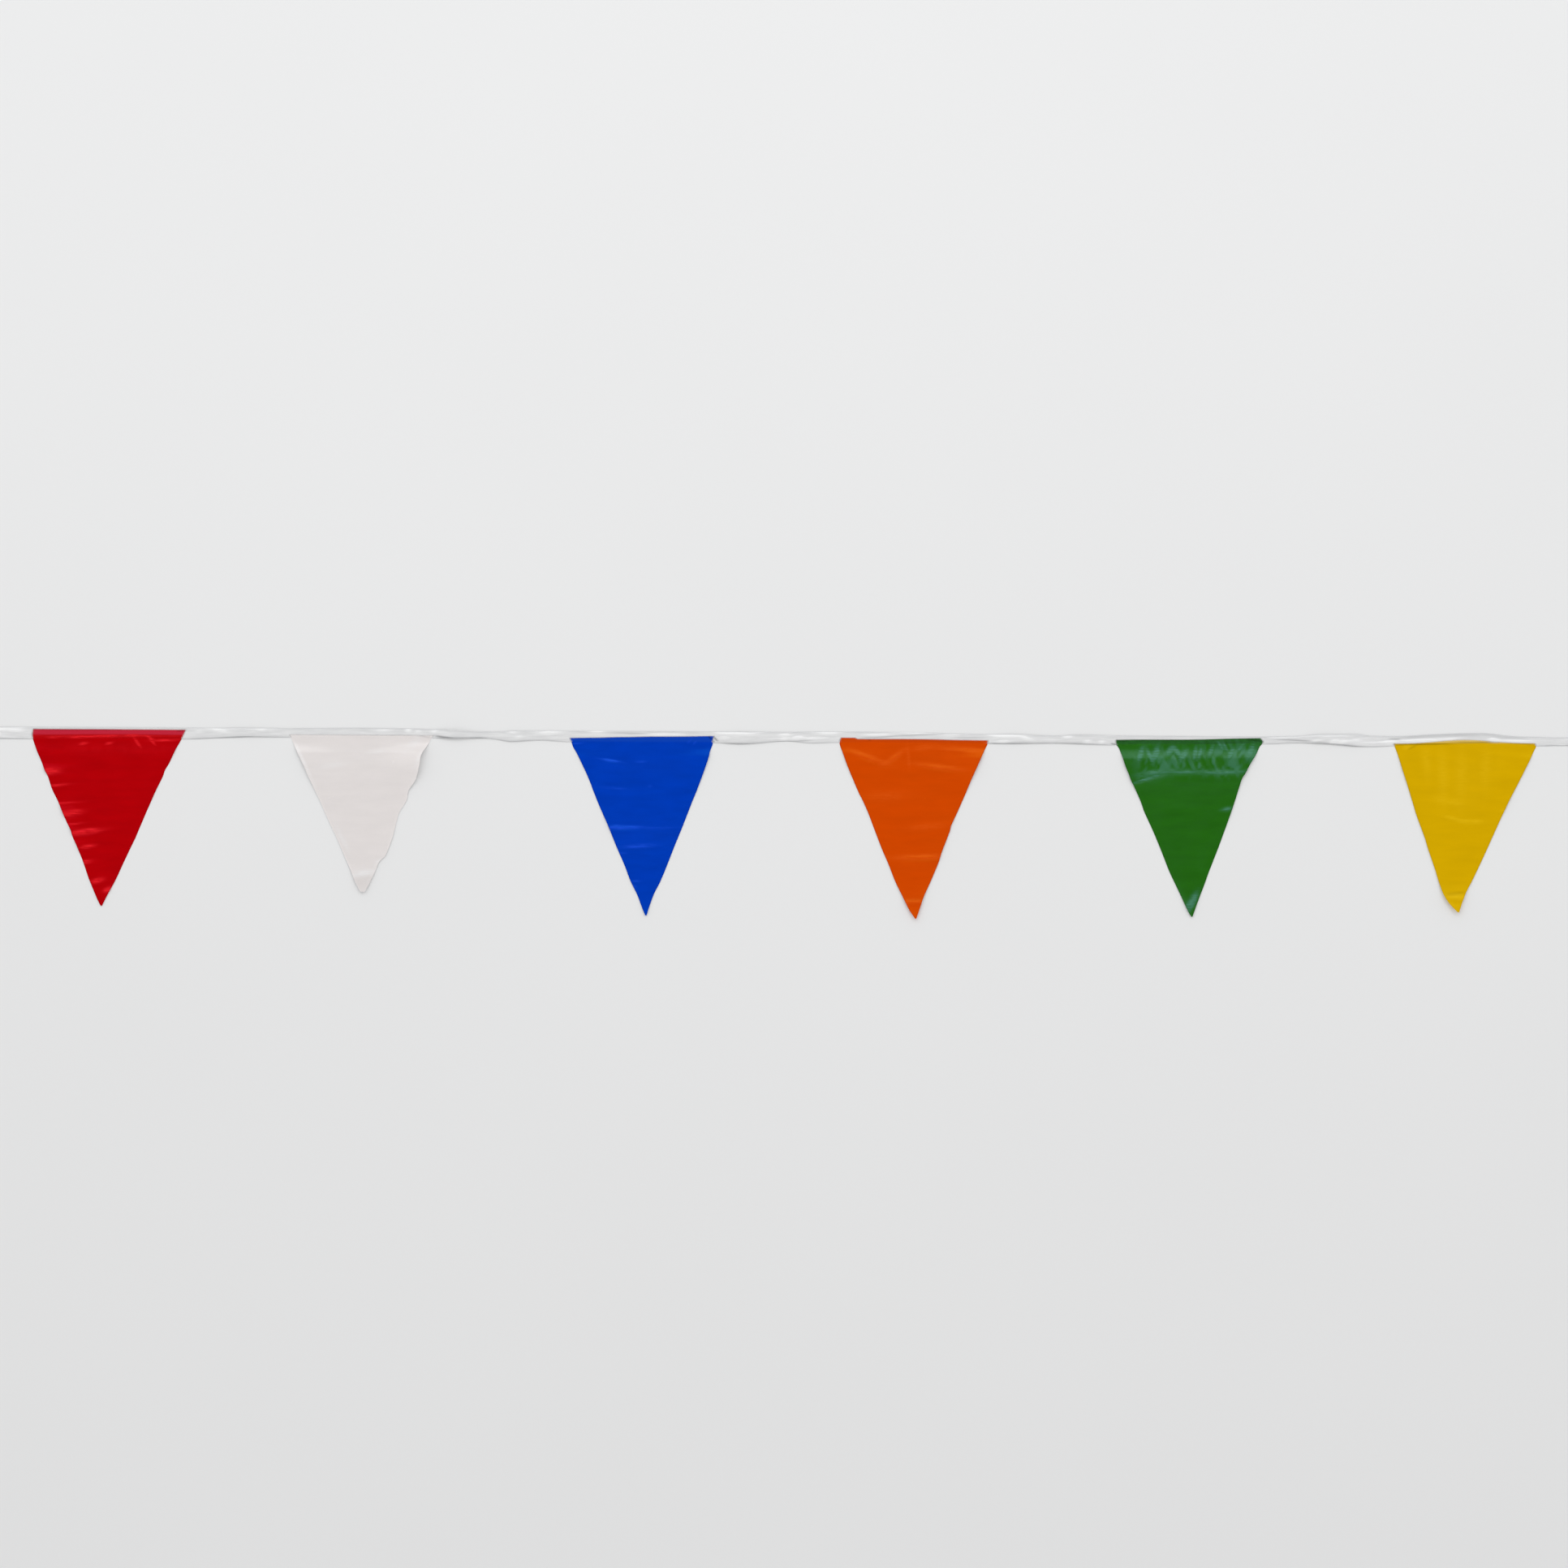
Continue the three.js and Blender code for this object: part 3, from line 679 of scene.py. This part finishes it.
# The tape's colours, among them painted edge shadow, painted shade lines and painted glints, and
# how solid it is
TAPE_THIN = (0.83, 0.83, 0.835)
TAPE_THICK = (0.94, 0.94, 0.94)
TAPE_PAINTED_EDGE_SHADOW = (0.52, 0.53, 0.54)
TAPE_SHADED = (0.28, 0.28, 0.29)
TAPE_PAINTED_GLINT = (0.99, 0.99, 0.99)
TAPE_MILKY = 0.9
TAPE_CLEAR = 0.001
SHADED_SOLID = 0.6
STREAK_SOLID = 0.7

# Noise in the films, as its scale, its detail and its stretch
DRAWN_LINES = (90, 3, (1, 12, 1))
DENTS = (230, 4)
DULL_SPOTS = (45, 3)
COLOUR_CLOUDS = (22, 5, (1, 4, 1))
BROKEN_SHINE = (70, 3, (1, 7, 1))
MILKY_CLOUDS = (38, 4, (1, 9, 1))

# The parts of that noise that are used, as its lowest and highest value, and what the
# broken shine of a crease runs between
CLOUD_RANGE = (0.3, 0.7)
SHINE_RANGE = (0.35, 0.65)
SHINE = (0.35, 1.15)

# Gloss
PENNANT_ROUGHNESS = 0.24
TAPE_ROUGHNESS = 0.16
SMOOTHEST = -0.04  # how far the roughness strays
DULLEST = 0.06
TAPE_GLOSS = 1.0
FILM_INDEX = 1.5
LINE_HEIGHT = 0.35  # against the dents
BUMP_STRENGTH = 0.12
BUMP_DEPTH = 0.0004

BRIGHTEST = 0.97
SHADED = 0.3  # how bright a shaded line is against the plain film


# Curves, ridges and smooth noise

def ease(value):
    t = np.clip(value, 0, 1)
    return t * t * (3 - 2 * t)


def mix(a, b, t):
    return a + (b - a) * t


def read(rows, key, column, at):
    """One column of a table between its rows, on a curve that never swings past a row."""
    places, values = rows[key], rows[column]
    step = np.diff(values) / np.diff(places)
    before, after = step[:-1], step[1:]
    turning = before * after <= 0
    inner = np.where(turning, 0, 2 * before * after / np.where(turning, 1, before + after))
    slope = np.concatenate([step[:1], inner, step[-1:]])
    at = np.clip(at, places[0], places[-1])
    i = np.clip(np.searchsorted(places, at, side="right") - 1, 0, len(places) - 2)
    span = places[i + 1] - places[i]
    t = (at - places[i]) / span
    enter = t * (1 - t) ** 2 * span * slope[i]
    leave = t ** 2 * (1 - t) * span * slope[i + 1]
    return mix(values[i], values[i + 1], ease(t)) + enter - leave


def ridges(rows, x, y, shift=0, blunt=2):
    """The summed height of a table's ridges, which fade out along their length.

    shift moves each sideways by so many widths, and a high blunt gives squarer ends.
    """
    height = np.zeros(x.shape)
    for at_x, at_y, length, turn, width, rise in zip(*rows.values()):
        angle = math.radians(turn)
        dx, dy = x - at_x, y - at_y
        run = dx * math.cos(angle) + dy * math.sin(angle)
        beside = (dy * math.cos(angle) - dx * math.sin(angle)) / width - shift
        height += rise * np.exp(-(beside ** 2) - np.abs(run / length) ** blunt)
    return height


def ripple(x, y, cell_x, cell_y, seed):
    """Smooth noise from -1 to 1, whose bumps measure about cell_x by cell_y."""
    u, v = x / cell_x, y / cell_y
    i, j = np.floor(u).astype(int), np.floor(v).astype(int)
    s, t = ease(u - i), ease(v - j)
    i, j = i - i.min(), j - j.min()
    lattice = np.random.default_rng(seed).uniform(-1, 1, (i.max() + 2, j.max() + 2))
    near = mix(lattice[i, j], lattice[i + 1, j], s)
    far = mix(lattice[i, j + 1], lattice[i + 1, j + 1], s)
    return mix(near, far, t)


def waves(kinds, x, y, seed):
    """The sum of several ripples, one from each seed in a row."""
    return sum(rise * ripple(x + slant * y, y, cell_x, cell_y, seed + i)
               for i, (rise, slant, cell_x, cell_y) in enumerate(kinds))


def settle(height):
    """Lets a sheet lie on the surface where it would dip below it, with a gentle lift-off."""
    return 0.5 * (height + np.sqrt(height ** 2 + SOFTNESS ** 2))


# Meshes

def film_sheet(name, upper, lower, marks):
    """A closed sheet between two grids of points. marks are named values at those points."""
    rows, columns, _ = upper.shape
    points = np.concatenate([upper.reshape(-1, 3), lower.reshape(-1, 3)]) * MM
    over = np.arange(rows * columns).reshape(rows, columns)
    top = [over[:-1, :-1], over[1:, :-1], over[1:, 1:], over[:-1, 1:]]
    bottom = [quad + rows * columns for quad in (top[0], top[3], top[2], top[1])]
    loop = np.concatenate([over[0], over[1:, -1], over[-1, -2::-1], over[-2:0:-1, 0]])
    after = np.roll(loop, -1)
    rim = [loop, after, after + rows * columns, loop + rows * columns]
    faces = np.concatenate([np.stack(quads, -1).reshape(-1, 4) for quads in (top, bottom, rim)])
    mesh = bpy.data.meshes.new(name)
    mesh.from_pydata(points.tolist(), [], faces.tolist())
    for mark, values in marks.items():
        both = np.concatenate([values.ravel(), values.ravel()]).astype(np.float32)
        mesh.attributes.new(mark, "FLOAT", "POINT").data.foreach_set("value", both)
    mesh.polygons.foreach_set("use_smooth", [True] * len(mesh.polygons))
    mesh.set_sharp_from_angle(angle=math.radians(SHARP_EDGE))
    piece = bpy.data.objects.new(name, mesh)
    bpy.context.scene.collection.objects.link(piece)
    return piece


def tape_at(column, x):
    return read(TAPE, "x", column, x)


def beside_pennant(x):
    """How far a place along the tape is from the nearest pennant's top edge."""
    away = [np.maximum(p["left"][0] - x, x - p["right"][0]) for p in PENNANTS]
    return np.min(away, axis=0)


def bow(pennant, share):
    """How far a top edge curves up between its corners."""
    return pennant["bow"] * np.sin(np.pi * share) ** BOW_FULLNESS


def tab(pennant, share):
    """The stub at a top edge's left end, where the cut left the film a little taller."""
    return pennant["tab"] * (1 - ease((share - TAB_END) / TAB_FADE))


def over_pennants(x, y):
    """1 where the tape lies on a pennant, below its top edge, and 0 beside and above it."""
    cover = np.zeros(x.shape)
    for p in PENNANTS:
        (left_x, left_y), (right_x, right_y), tip = p["left"], p["right"], p["tip"]
        share = np.clip((x - left_x) / (right_x - left_x), 0, 1)
        top = mix(left_y, right_y, share) + bow(p, share) + tab(p, share)
        down = np.clip(top - y, 0, TOP_DEPTH)
        t = down / (left_y - tip[1])
        left_x = mix(left_x, tip[0], t) + read(p["edges"], "down", "left", down)
        right_x = mix(right_x, tip[0], t) + read(p["edges"], "down", "right", down)
        inside = ease((x - left_x) / CLEAR_SIDE + 0.6) * ease((right_x - x) / CLEAR_SIDE + 0.6)
        cover = np.maximum(cover, inside * ease((top - y) / CLEAR_TOP + 0.5))
    return cover


def pennant_levels(drop):
    """The rows of a pennant's mesh, closer together near its top."""
    top = np.arange(0, TOP_DEPTH, TOP_ROW_STEP)
    low = np.linspace(TOP_DEPTH, drop, round((drop - TOP_DEPTH) / LOW_ROW_STEP) + 1)
    return np.concatenate([top, low])


def pennant_piece(pennant, seed):
    left, right, tip, edges = (pennant[k] for k in ("left", "right", "tip", "edges"))
    drop = left[1] - tip[1]
    down = pennant_levels(drop)[:, None]
    share = np.linspace(0, 1, PENNANT_COLUMNS + 1)[None, :]
    t = down / drop
    blunt = TIP_WIDTH / 2 * ease(1 - (drop - down) / TIP_LENGTH)
    left_x = mix(left[0], tip[0], t) + read(edges, "down", "left", down) - blunt
    right_x = mix(right[0], tip[0], t) + read(edges, "down", "right", down) + blunt
    x = mix(left_x, right_x, share)
    ragged = tab(pennant, share) + waves(TOP_EDGE_WAVES, x, 0 * x, seed + 4)
    y = left[1] - down + (right[1] - left[1]) * share * (1 - t)
    y = y + bow(pennant, share) * (1 - ease(down / BOW_DEPTH))
    y = y + ragged * (1 - ease(down / RAGGED_DEPTH))

    # The swell of the whole sheet, its creases, and the film's own unevenness
    half = np.where(share < 0.5, read(edges, "down", "leftLift", down),
                    read(edges, "down", "rightLift", down))
    relief = mix(read(edges, "down", "midLift", down), half, np.abs(2 * share - 1) ** 2)
    relief = relief + ridges(pennant["creases"], x, y)
    relief += waves(FILM_WAVES, x, y, seed)
    # Where the painted sheens lie; the film is also puckered there
    sheen = np.clip(ridges(pennant["sheens"], x, y, blunt=SQUARE_ENDS), 0, 1)
    pucker = waves(PUCKERS, x, y, seed + 2)
    relief += PUCKER_RISE * sheen * pennant["pucker"] * pucker

    hem = np.minimum(tape_at("front", x), tape_at("back", x))
    past = hem - HEM_REACH - y
    held = 1 - ease(past / SLOPE_LENGTH)
    free = ease(past / (SLOPE_LENGTH / 2))
    z = REST + held * (WELD_HEIGHT - REST) + free * settle(relief)
    # Creases by the weld start under the tape, where the sheet can rise only a little
    z += (1 - free) * SLOPE_CREASE * ridges(pennant["creases"], x, y)

    cover = tape_at("front", x) + FILMS[pennant["slot"]]["hem"]
    # Painted highlight on the lit flank of each crease
    lit = ridges(pennant["creases"], x, y, CREASE_SHIFT) / CREASE_FULL
    broken = mix(PLAIN_SHEEN, PUCKERED_SHEEN + PUCKER_CONTRAST * pucker, pennant["pucker"])
    marks = {
        # Painted shade along the cut edges (a painted highlight on the white film)
        "rim": np.exp(-np.minimum(x - left_x, right_x - x) / RIM_WIDTH),
        "covered": ease((y - cover) / COVER_FADE + 0.5),
        "painted_crease_highlight": np.clip(lit, 0, 1),
        # Painted shade lines, where a fold or the tape's edge would shade the film
        "shaded": np.clip(ridges(pennant["shades"], x, y, blunt=SQUARE_ENDS), 0, 1),
        "sheen": sheen * np.clip(broken, 0, 1),
    }
    lower = np.stack([x, y, z], -1)
    upper = lower + (0, 0, FILM)
    return film_sheet(pennant["node"] + "_film", upper, lower, marks)


def tape_piece():
    """The folded tape: its front layer from the free edge up, the bend, and the back layer."""
    steps = round(STRING_LENGTH / TAPE_STEP)
    x = np.linspace(-STRING_LENGTH / 2, STRING_LENGTH / 2, steps + 1)[:, None]
    loose = ease((beside_pennant(x) + LOOSE_REACH) / LOOSE_LENGTH)
    height = mix(SLOT, LOOSE_SLOT, loose) + 2 * FILM
    radius = height / 2
    fold, front, back = (tape_at(c, x) for c in ("fold", "front", "back"))
    base = REST + tape_at("lift", x)
    turn_y = fold - radius

    share = np.linspace(0, 1, TAPE_FRONT_CELLS + 1)[None, :]
    front_y = mix(front, turn_y, share)
    wide = np.broadcast_to(x, front_y.shape)
    slack = waves(TAPE_WAVES, wide, front_y, TAPE_SEED)
    between = np.sin(np.pi * share) ** PUFF_FULLNESS
    puff = mix(PRESSED_PUFF, 1, loose) * np.maximum(slack + SLACK_BIAS, 0) * between
    # Painted glints along the pinched creases, which also raise the tape a little there
    ridge_and_painted_glint = np.clip(STREAK_GAIN * ridges(STREAKS, wide, front_y), 0, 1)
    front_z = base + height + puff + STREAK_RISE * ridge_and_painted_glint * between

    def section(inset):
        angles = np.linspace(math.pi / 2, -math.pi / 2, TAPE_BEND_CELLS + 1)[None, 1:]
        reach = radius - inset
        bend_y = turn_y + reach * np.cos(angles)
        bend_z = base + radius + reach * np.sin(angles)
        run = np.linspace(0, 1, TAPE_BACK_CELLS + 1)[None, 1:]
        back_y = mix(turn_y, back, run)
        back_z = base + inset + 0 * back_y
        y = np.concatenate([front_y, bend_y, back_y], 1)
        z = np.concatenate([front_z - inset, bend_z, back_z], 1)
        return np.stack([np.broadcast_to(x, y.shape), y, z], -1)

    outer, inner = section(0), section(FILM)
    y = outer[:, :, 1]
    # Painted shadow along the fold and along the lower edge, stronger where the lower edge is
    # lifted
    raised = mix(LOWER_LINE, 1, np.clip(tape_at("lift", x), 0, 1))
    painted_lower_edge_shadow = np.exp(-np.maximum(y - front, 0) / LOWER_LINE_WIDTH)
    painted_lower_edge_shadow = painted_lower_edge_shadow * raised * mix(PRESSED_LINE, 1, loose)
    painted_fold_shadow = FOLD_LINE * np.exp(-np.abs(fold - y) / FOLD_LINE_WIDTH)
    # Painted shadow lines from the SHADES table
    dark = np.clip(ridges(SHADES, wide, front_y, blunt=SQUARE_ENDS), 0, 1)
    behind = ((0, 0), (0, y.shape[1] - front_y.shape[1]))
    marks = {
        "clear": over_pennants(np.broadcast_to(x, y.shape), y),
        "rim": np.maximum(painted_fold_shadow, painted_lower_edge_shadow),
        "shaded": np.pad(dark, behind),
        "ridge_and_painted_glint": np.pad(ridge_and_painted_glint, behind),
    }
    return film_sheet("heading_tape_film", outer, inner, marks)


# Materials

class Nodes:
    """A node tree, with short ways to add nodes."""

    def __init__(self, tree):
        self.tree = tree

    def add(self, kind, links=(), **settings):
        node = self.tree.nodes.new(kind)
        for key, value in settings.items():
            setattr(node, key, value)
        for socket, source in dict(links).items():
            self.join(node.inputs[socket], source)
        return node

    def join(self, socket, source):
        if isinstance(source, bpy.types.NodeSocket):
            self.tree.links.new(source, socket)
        else:
            socket.default_value = source

    def mark(self, name):
        return self.add("ShaderNodeAttribute", attribute_name=name).outputs["Fac"]

    def math(self, operation, a, b, clamp=False):
        node = self.add("ShaderNodeMath", {0: a, 1: b}, operation=operation, use_clamp=clamp)
        return node.outputs[0]

    def noise(self, scale, detail, stretch=(1, 1, 1)):
        place = self.add("ShaderNodeTexCoord").outputs["Object"]
        mapped = self.add("ShaderNodeMapping", {"Vector": place, "Scale": stretch})
        links = {"Vector": mapped.outputs[0], "Scale": scale, "Detail": detail}
        return self.add("ShaderNodeTexNoise", links).outputs["Fac"]

    def spread(self, value, low, high, start=0.0, end=1.0):
        links = {"Value": value, "From Min": start, "From Max": end, "To Min": low, "To Max": high}
        return self.add("ShaderNodeMapRange", links).outputs["Result"]

    def tint(self, factor, a, b):
        node = self.add("ShaderNodeMix", data_type="RGBA")
        sockets = {socket.identifier: socket for socket in node.inputs}
        self.join(sockets["Factor_Float"], factor)
        for name, value in (("A_Color", a), ("B_Color", b)):
            self.join(sockets[name], (*value, 1) if isinstance(value, tuple) else value)
        return next(s for s in node.outputs if s.identifier == "Result_Color")


def new_material(name):
    material = bpy.data.materials.new(name)
    material.use_nodes = True
    made = Nodes(material.node_tree)
    return material, made, made.tree.nodes["Principled BSDF"].inputs


def film_surface(made, shader, roughness):
    """The film's gloss: faint lines from its making, small dents and dull spots."""
    lines = made.math("MULTIPLY", made.noise(*DRAWN_LINES), LINE_HEIGHT)
    links = {
        "Strength": BUMP_STRENGTH,
        "Distance": BUMP_DEPTH,
        "Height": made.math("ADD", lines, made.noise(*DENTS)),
    }
    made.join(shader["Normal"], made.add("ShaderNodeBump", links).outputs[0])
    spots = made.noise(*DULL_SPOTS)
    rough = made.spread(spots, roughness + SMOOTHEST, roughness + DULLEST)
    made.join(shader["Roughness"], rough)
    shader["IOR"].default_value = FILM_INDEX


def scaled(colour, amount):
    return tuple(min(c * amount, BRIGHTEST) for c in colour)


def pennant_film(slot):
    """Coloured film, from its plain look outwards through every mark on it."""
    material, made, shader = new_material(slot)
    look = FILMS[slot]
    plain = look["plain"]
    uneven = made.spread(made.noise(*COLOUR_CLOUDS), 0, 1, *CLOUD_RANGE)
    low, high = look["uneven"]
    body = made.tint(uneven, scaled(plain, low), scaled(plain, high))
    body = made.tint(made.mark("covered"), body, look["covered"])
    # Painted highlights: the lit flanks of the creases, broken up by noise, and the painted sheens
    streaky = made.spread(made.noise(*BROKEN_SHINE), *SHINE, *SHINE_RANGE)
    painted_crease_highlight = made.math("MULTIPLY", made.mark("painted_crease_highlight"), streaky, clamp=True)
    sheen = made.math("MULTIPLY", made.mark("sheen"), look["sheen"])
    body = made.tint(made.math("MAXIMUM", painted_crease_highlight, sheen), body, look["painted_crease_highlight"])
    # Painted shade along the cut edges, a painted highlight on the white film
    body = made.tint(made.mark("rim"), body, scaled(plain, look["rim"]))
    # Painted shade lines
    body = made.tint(made.mark("shaded"), body, scaled(plain, SHADED))
    made.join(shader["Base Color"], body)
    made.join(shader["Specular Tint"], (*look["gloss"], 1))
    film_surface(made, shader, PENNANT_ROUGHNESS)
    shader["Alpha"].default_value = look["alpha"]
    return material


def tape_film(slot):
    """Milky where the tape hangs together, clear where it is pressed onto a pennant."""
    material, made, shader = new_material(slot)
    cloudy = made.spread(made.noise(*MILKY_CLOUDS), 0, 1, *CLOUD_RANGE)
    body = made.tint(cloudy, TAPE_THIN, TAPE_THICK)
    # Painted shadow along the fold and the lower edge
    body = made.tint(made.mark("rim"), body, TAPE_PAINTED_EDGE_SHADOW)
    # Painted shadow lines
    body = made.tint(made.mark("shaded"), body, TAPE_SHADED)
    # Painted glints along the pinched creases
    body = made.tint(made.mark("ridge_and_painted_glint"), body, TAPE_PAINTED_GLINT)
    made.join(shader["Base Color"], body)
    film_surface(made, shader, TAPE_ROUGHNESS)
    shader["Specular IOR Level"].default_value = TAPE_GLOSS
    solid = made.spread(made.mark("clear"), TAPE_MILKY, TAPE_CLEAR)
    for mark, share in (("shaded", SHADED_SOLID), ("ridge_and_painted_glint", STREAK_SOLID)):
        solid = made.math("MAXIMUM", solid, made.math("MULTIPLY", made.mark(mark), share))
    made.join(shader["Alpha"], solid)
    return material


# The studio

CENTRE = Vector((0, -0.0634, 0))
VIEW_WIDTH = 2.1117  # what the photograph's frame takes in, at the surface
LENS = 85
SENSOR = 36
FLOOR_DROP = 0.0001
FLOOR_TURNS = 64
FLOOR_RINGS = (0.6, 1.6, 4, 10, 40)
FLOOR_CLOUDS = (1.5, 2)
FLOOR_TINTS = ((0.84, 0.84, 0.84), (0.86, 0.86, 0.86))
FLOOR_ROUGHNESS = 0.7
FLOOR_GLOSS = 0.2
ROOM_LIGHT = 0.8
OVERHEAD_LIGHT = 0.012
OVERHEAD_SHAPE = (0.75, 1, 0)  # makes the dark opening overhead longer along the string
DARK_LEAN = 0.16  # the room is dark this far off overhead, and fully pale at PALE_LEAN
PALE_LEAN = 0.34
WINDOW_TINT = (0.97, 0.99, 1.0)


def camera():
    data = bpy.data.cameras.new("camera")
    data.lens = LENS
    data.sensor_width = SENSOR
    piece = bpy.data.objects.new("camera", data)
    piece.location = CENTRE + Vector((0, 0, VIEW_WIDTH * LENS / SENSOR))
    bpy.context.scene.collection.objects.link(piece)
    bpy.context.scene.camera = piece


def softbox(name, lean, bearing, distance, size, radiance, tint):
    """A soft panel facing the string, lean degrees off overhead towards bearing (0 is +Y)."""
    a, b = math.radians(lean), math.radians(bearing)
    way = Vector((math.sin(a) * math.sin(b), math.sin(a) * math.cos(b), math.cos(a)))
    data = bpy.data.lights.new(name, "AREA")
    data.shape = "RECTANGLE"
    data.size, data.size_y = size
    data.energy = radiance * math.pi * size[0] * size[1]
    data.color = tint
    lamp = bpy.data.objects.new(name, data)
    lamp.location = CENTRE + way * distance
    lamp.rotation_mode = "QUATERNION"
    lamp.rotation_quaternion = way.to_track_quat("Z", "Y")
    lamp.visible_camera = False
    bpy.context.scene.collection.objects.link(lamp)


def pale_room():
    """Even pale light from all round, with a dark opening overhead for the flat film's gloss."""
    world = bpy.data.worlds.new("pale_room")
    world.use_nodes = True
    made = Nodes(world.node_tree)
    way = made.add("ShaderNodeTexCoord").outputs["Generated"]
    flat = made.add("ShaderNodeVectorMath", {0: way, 1: OVERHEAD_SHAPE}, operation="MULTIPLY")
    lean = made.add("ShaderNodeVectorMath", {0: flat.outputs[0]}, operation="LENGTH")
    light = made.spread(lean.outputs["Value"], OVERHEAD_LIGHT, ROOM_LIGHT, DARK_LEAN, PALE_LEAN)
    made.join(made.tree.nodes["Background"].inputs["Color"], (1, 1, 1, 1))
    made.join(made.tree.nodes["Background"].inputs["Strength"], light)
    bpy.context.scene.world = world


def floor_finish():
    material, made, shader = new_material("pale_surface")
    made.join(shader["Base Color"], made.tint(made.noise(*FLOOR_CLOUDS), *FLOOR_TINTS))
    shader["Roughness"].default_value = FLOOR_ROUGHNESS
    shader["Specular IOR Level"].default_value = FLOOR_GLOSS
    return material


def floor():
    """A round pale table top, in rings."""
    turns = FLOOR_TURNS
    angles = np.linspace(0, 2 * math.pi, turns, endpoint=False)
    points = [(0, 0, -FLOOR_DROP)]
    points += [(r * math.cos(a), r * math.sin(a), -FLOOR_DROP) for r in FLOOR_RINGS for a in angles]
    faces = [(0, 1 + i, 1 + (i + 1) % turns) for i in range(turns)]
    for ring in range(len(FLOOR_RINGS) - 1):
        start = 1 + ring * turns
        for i in range(turns):
            j = (i + 1) % turns
            faces.append((start + i, start + turns + i, start + turns + j, start + j))
    mesh = bpy.data.meshes.new("surface")
    mesh.from_pydata(points, [], faces)
    piece = bpy.data.objects.new("surface", mesh)
    piece.data.materials.append(floor_finish())
    bpy.context.scene.collection.objects.link(piece)


def studio():
    bpy.context.scene.view_settings.view_transform = "Standard"
    pale_room()
    softbox("window_side", lean=36, bearing=0, distance=3.6, size=(6.0, 2.6), radiance=1.0,
            tint=WINDOW_TINT)
    floor()
    camera()


# Assembly


def dress(piece, node, material):
    piece.data.materials.append(material)
    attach(piece, "root")
    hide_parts(node)


for number, pennant in enumerate(PENNANTS):
    node, slot = pennant["node"], pennant["slot"]
    piece = pennant_piece(pennant, PENNANT_SEED + SEED_STEP * number)
    dress(piece, node, pennant_film(slot))
dress(tape_piece(), "heading_tape", tape_film("tape_film"))
studio()
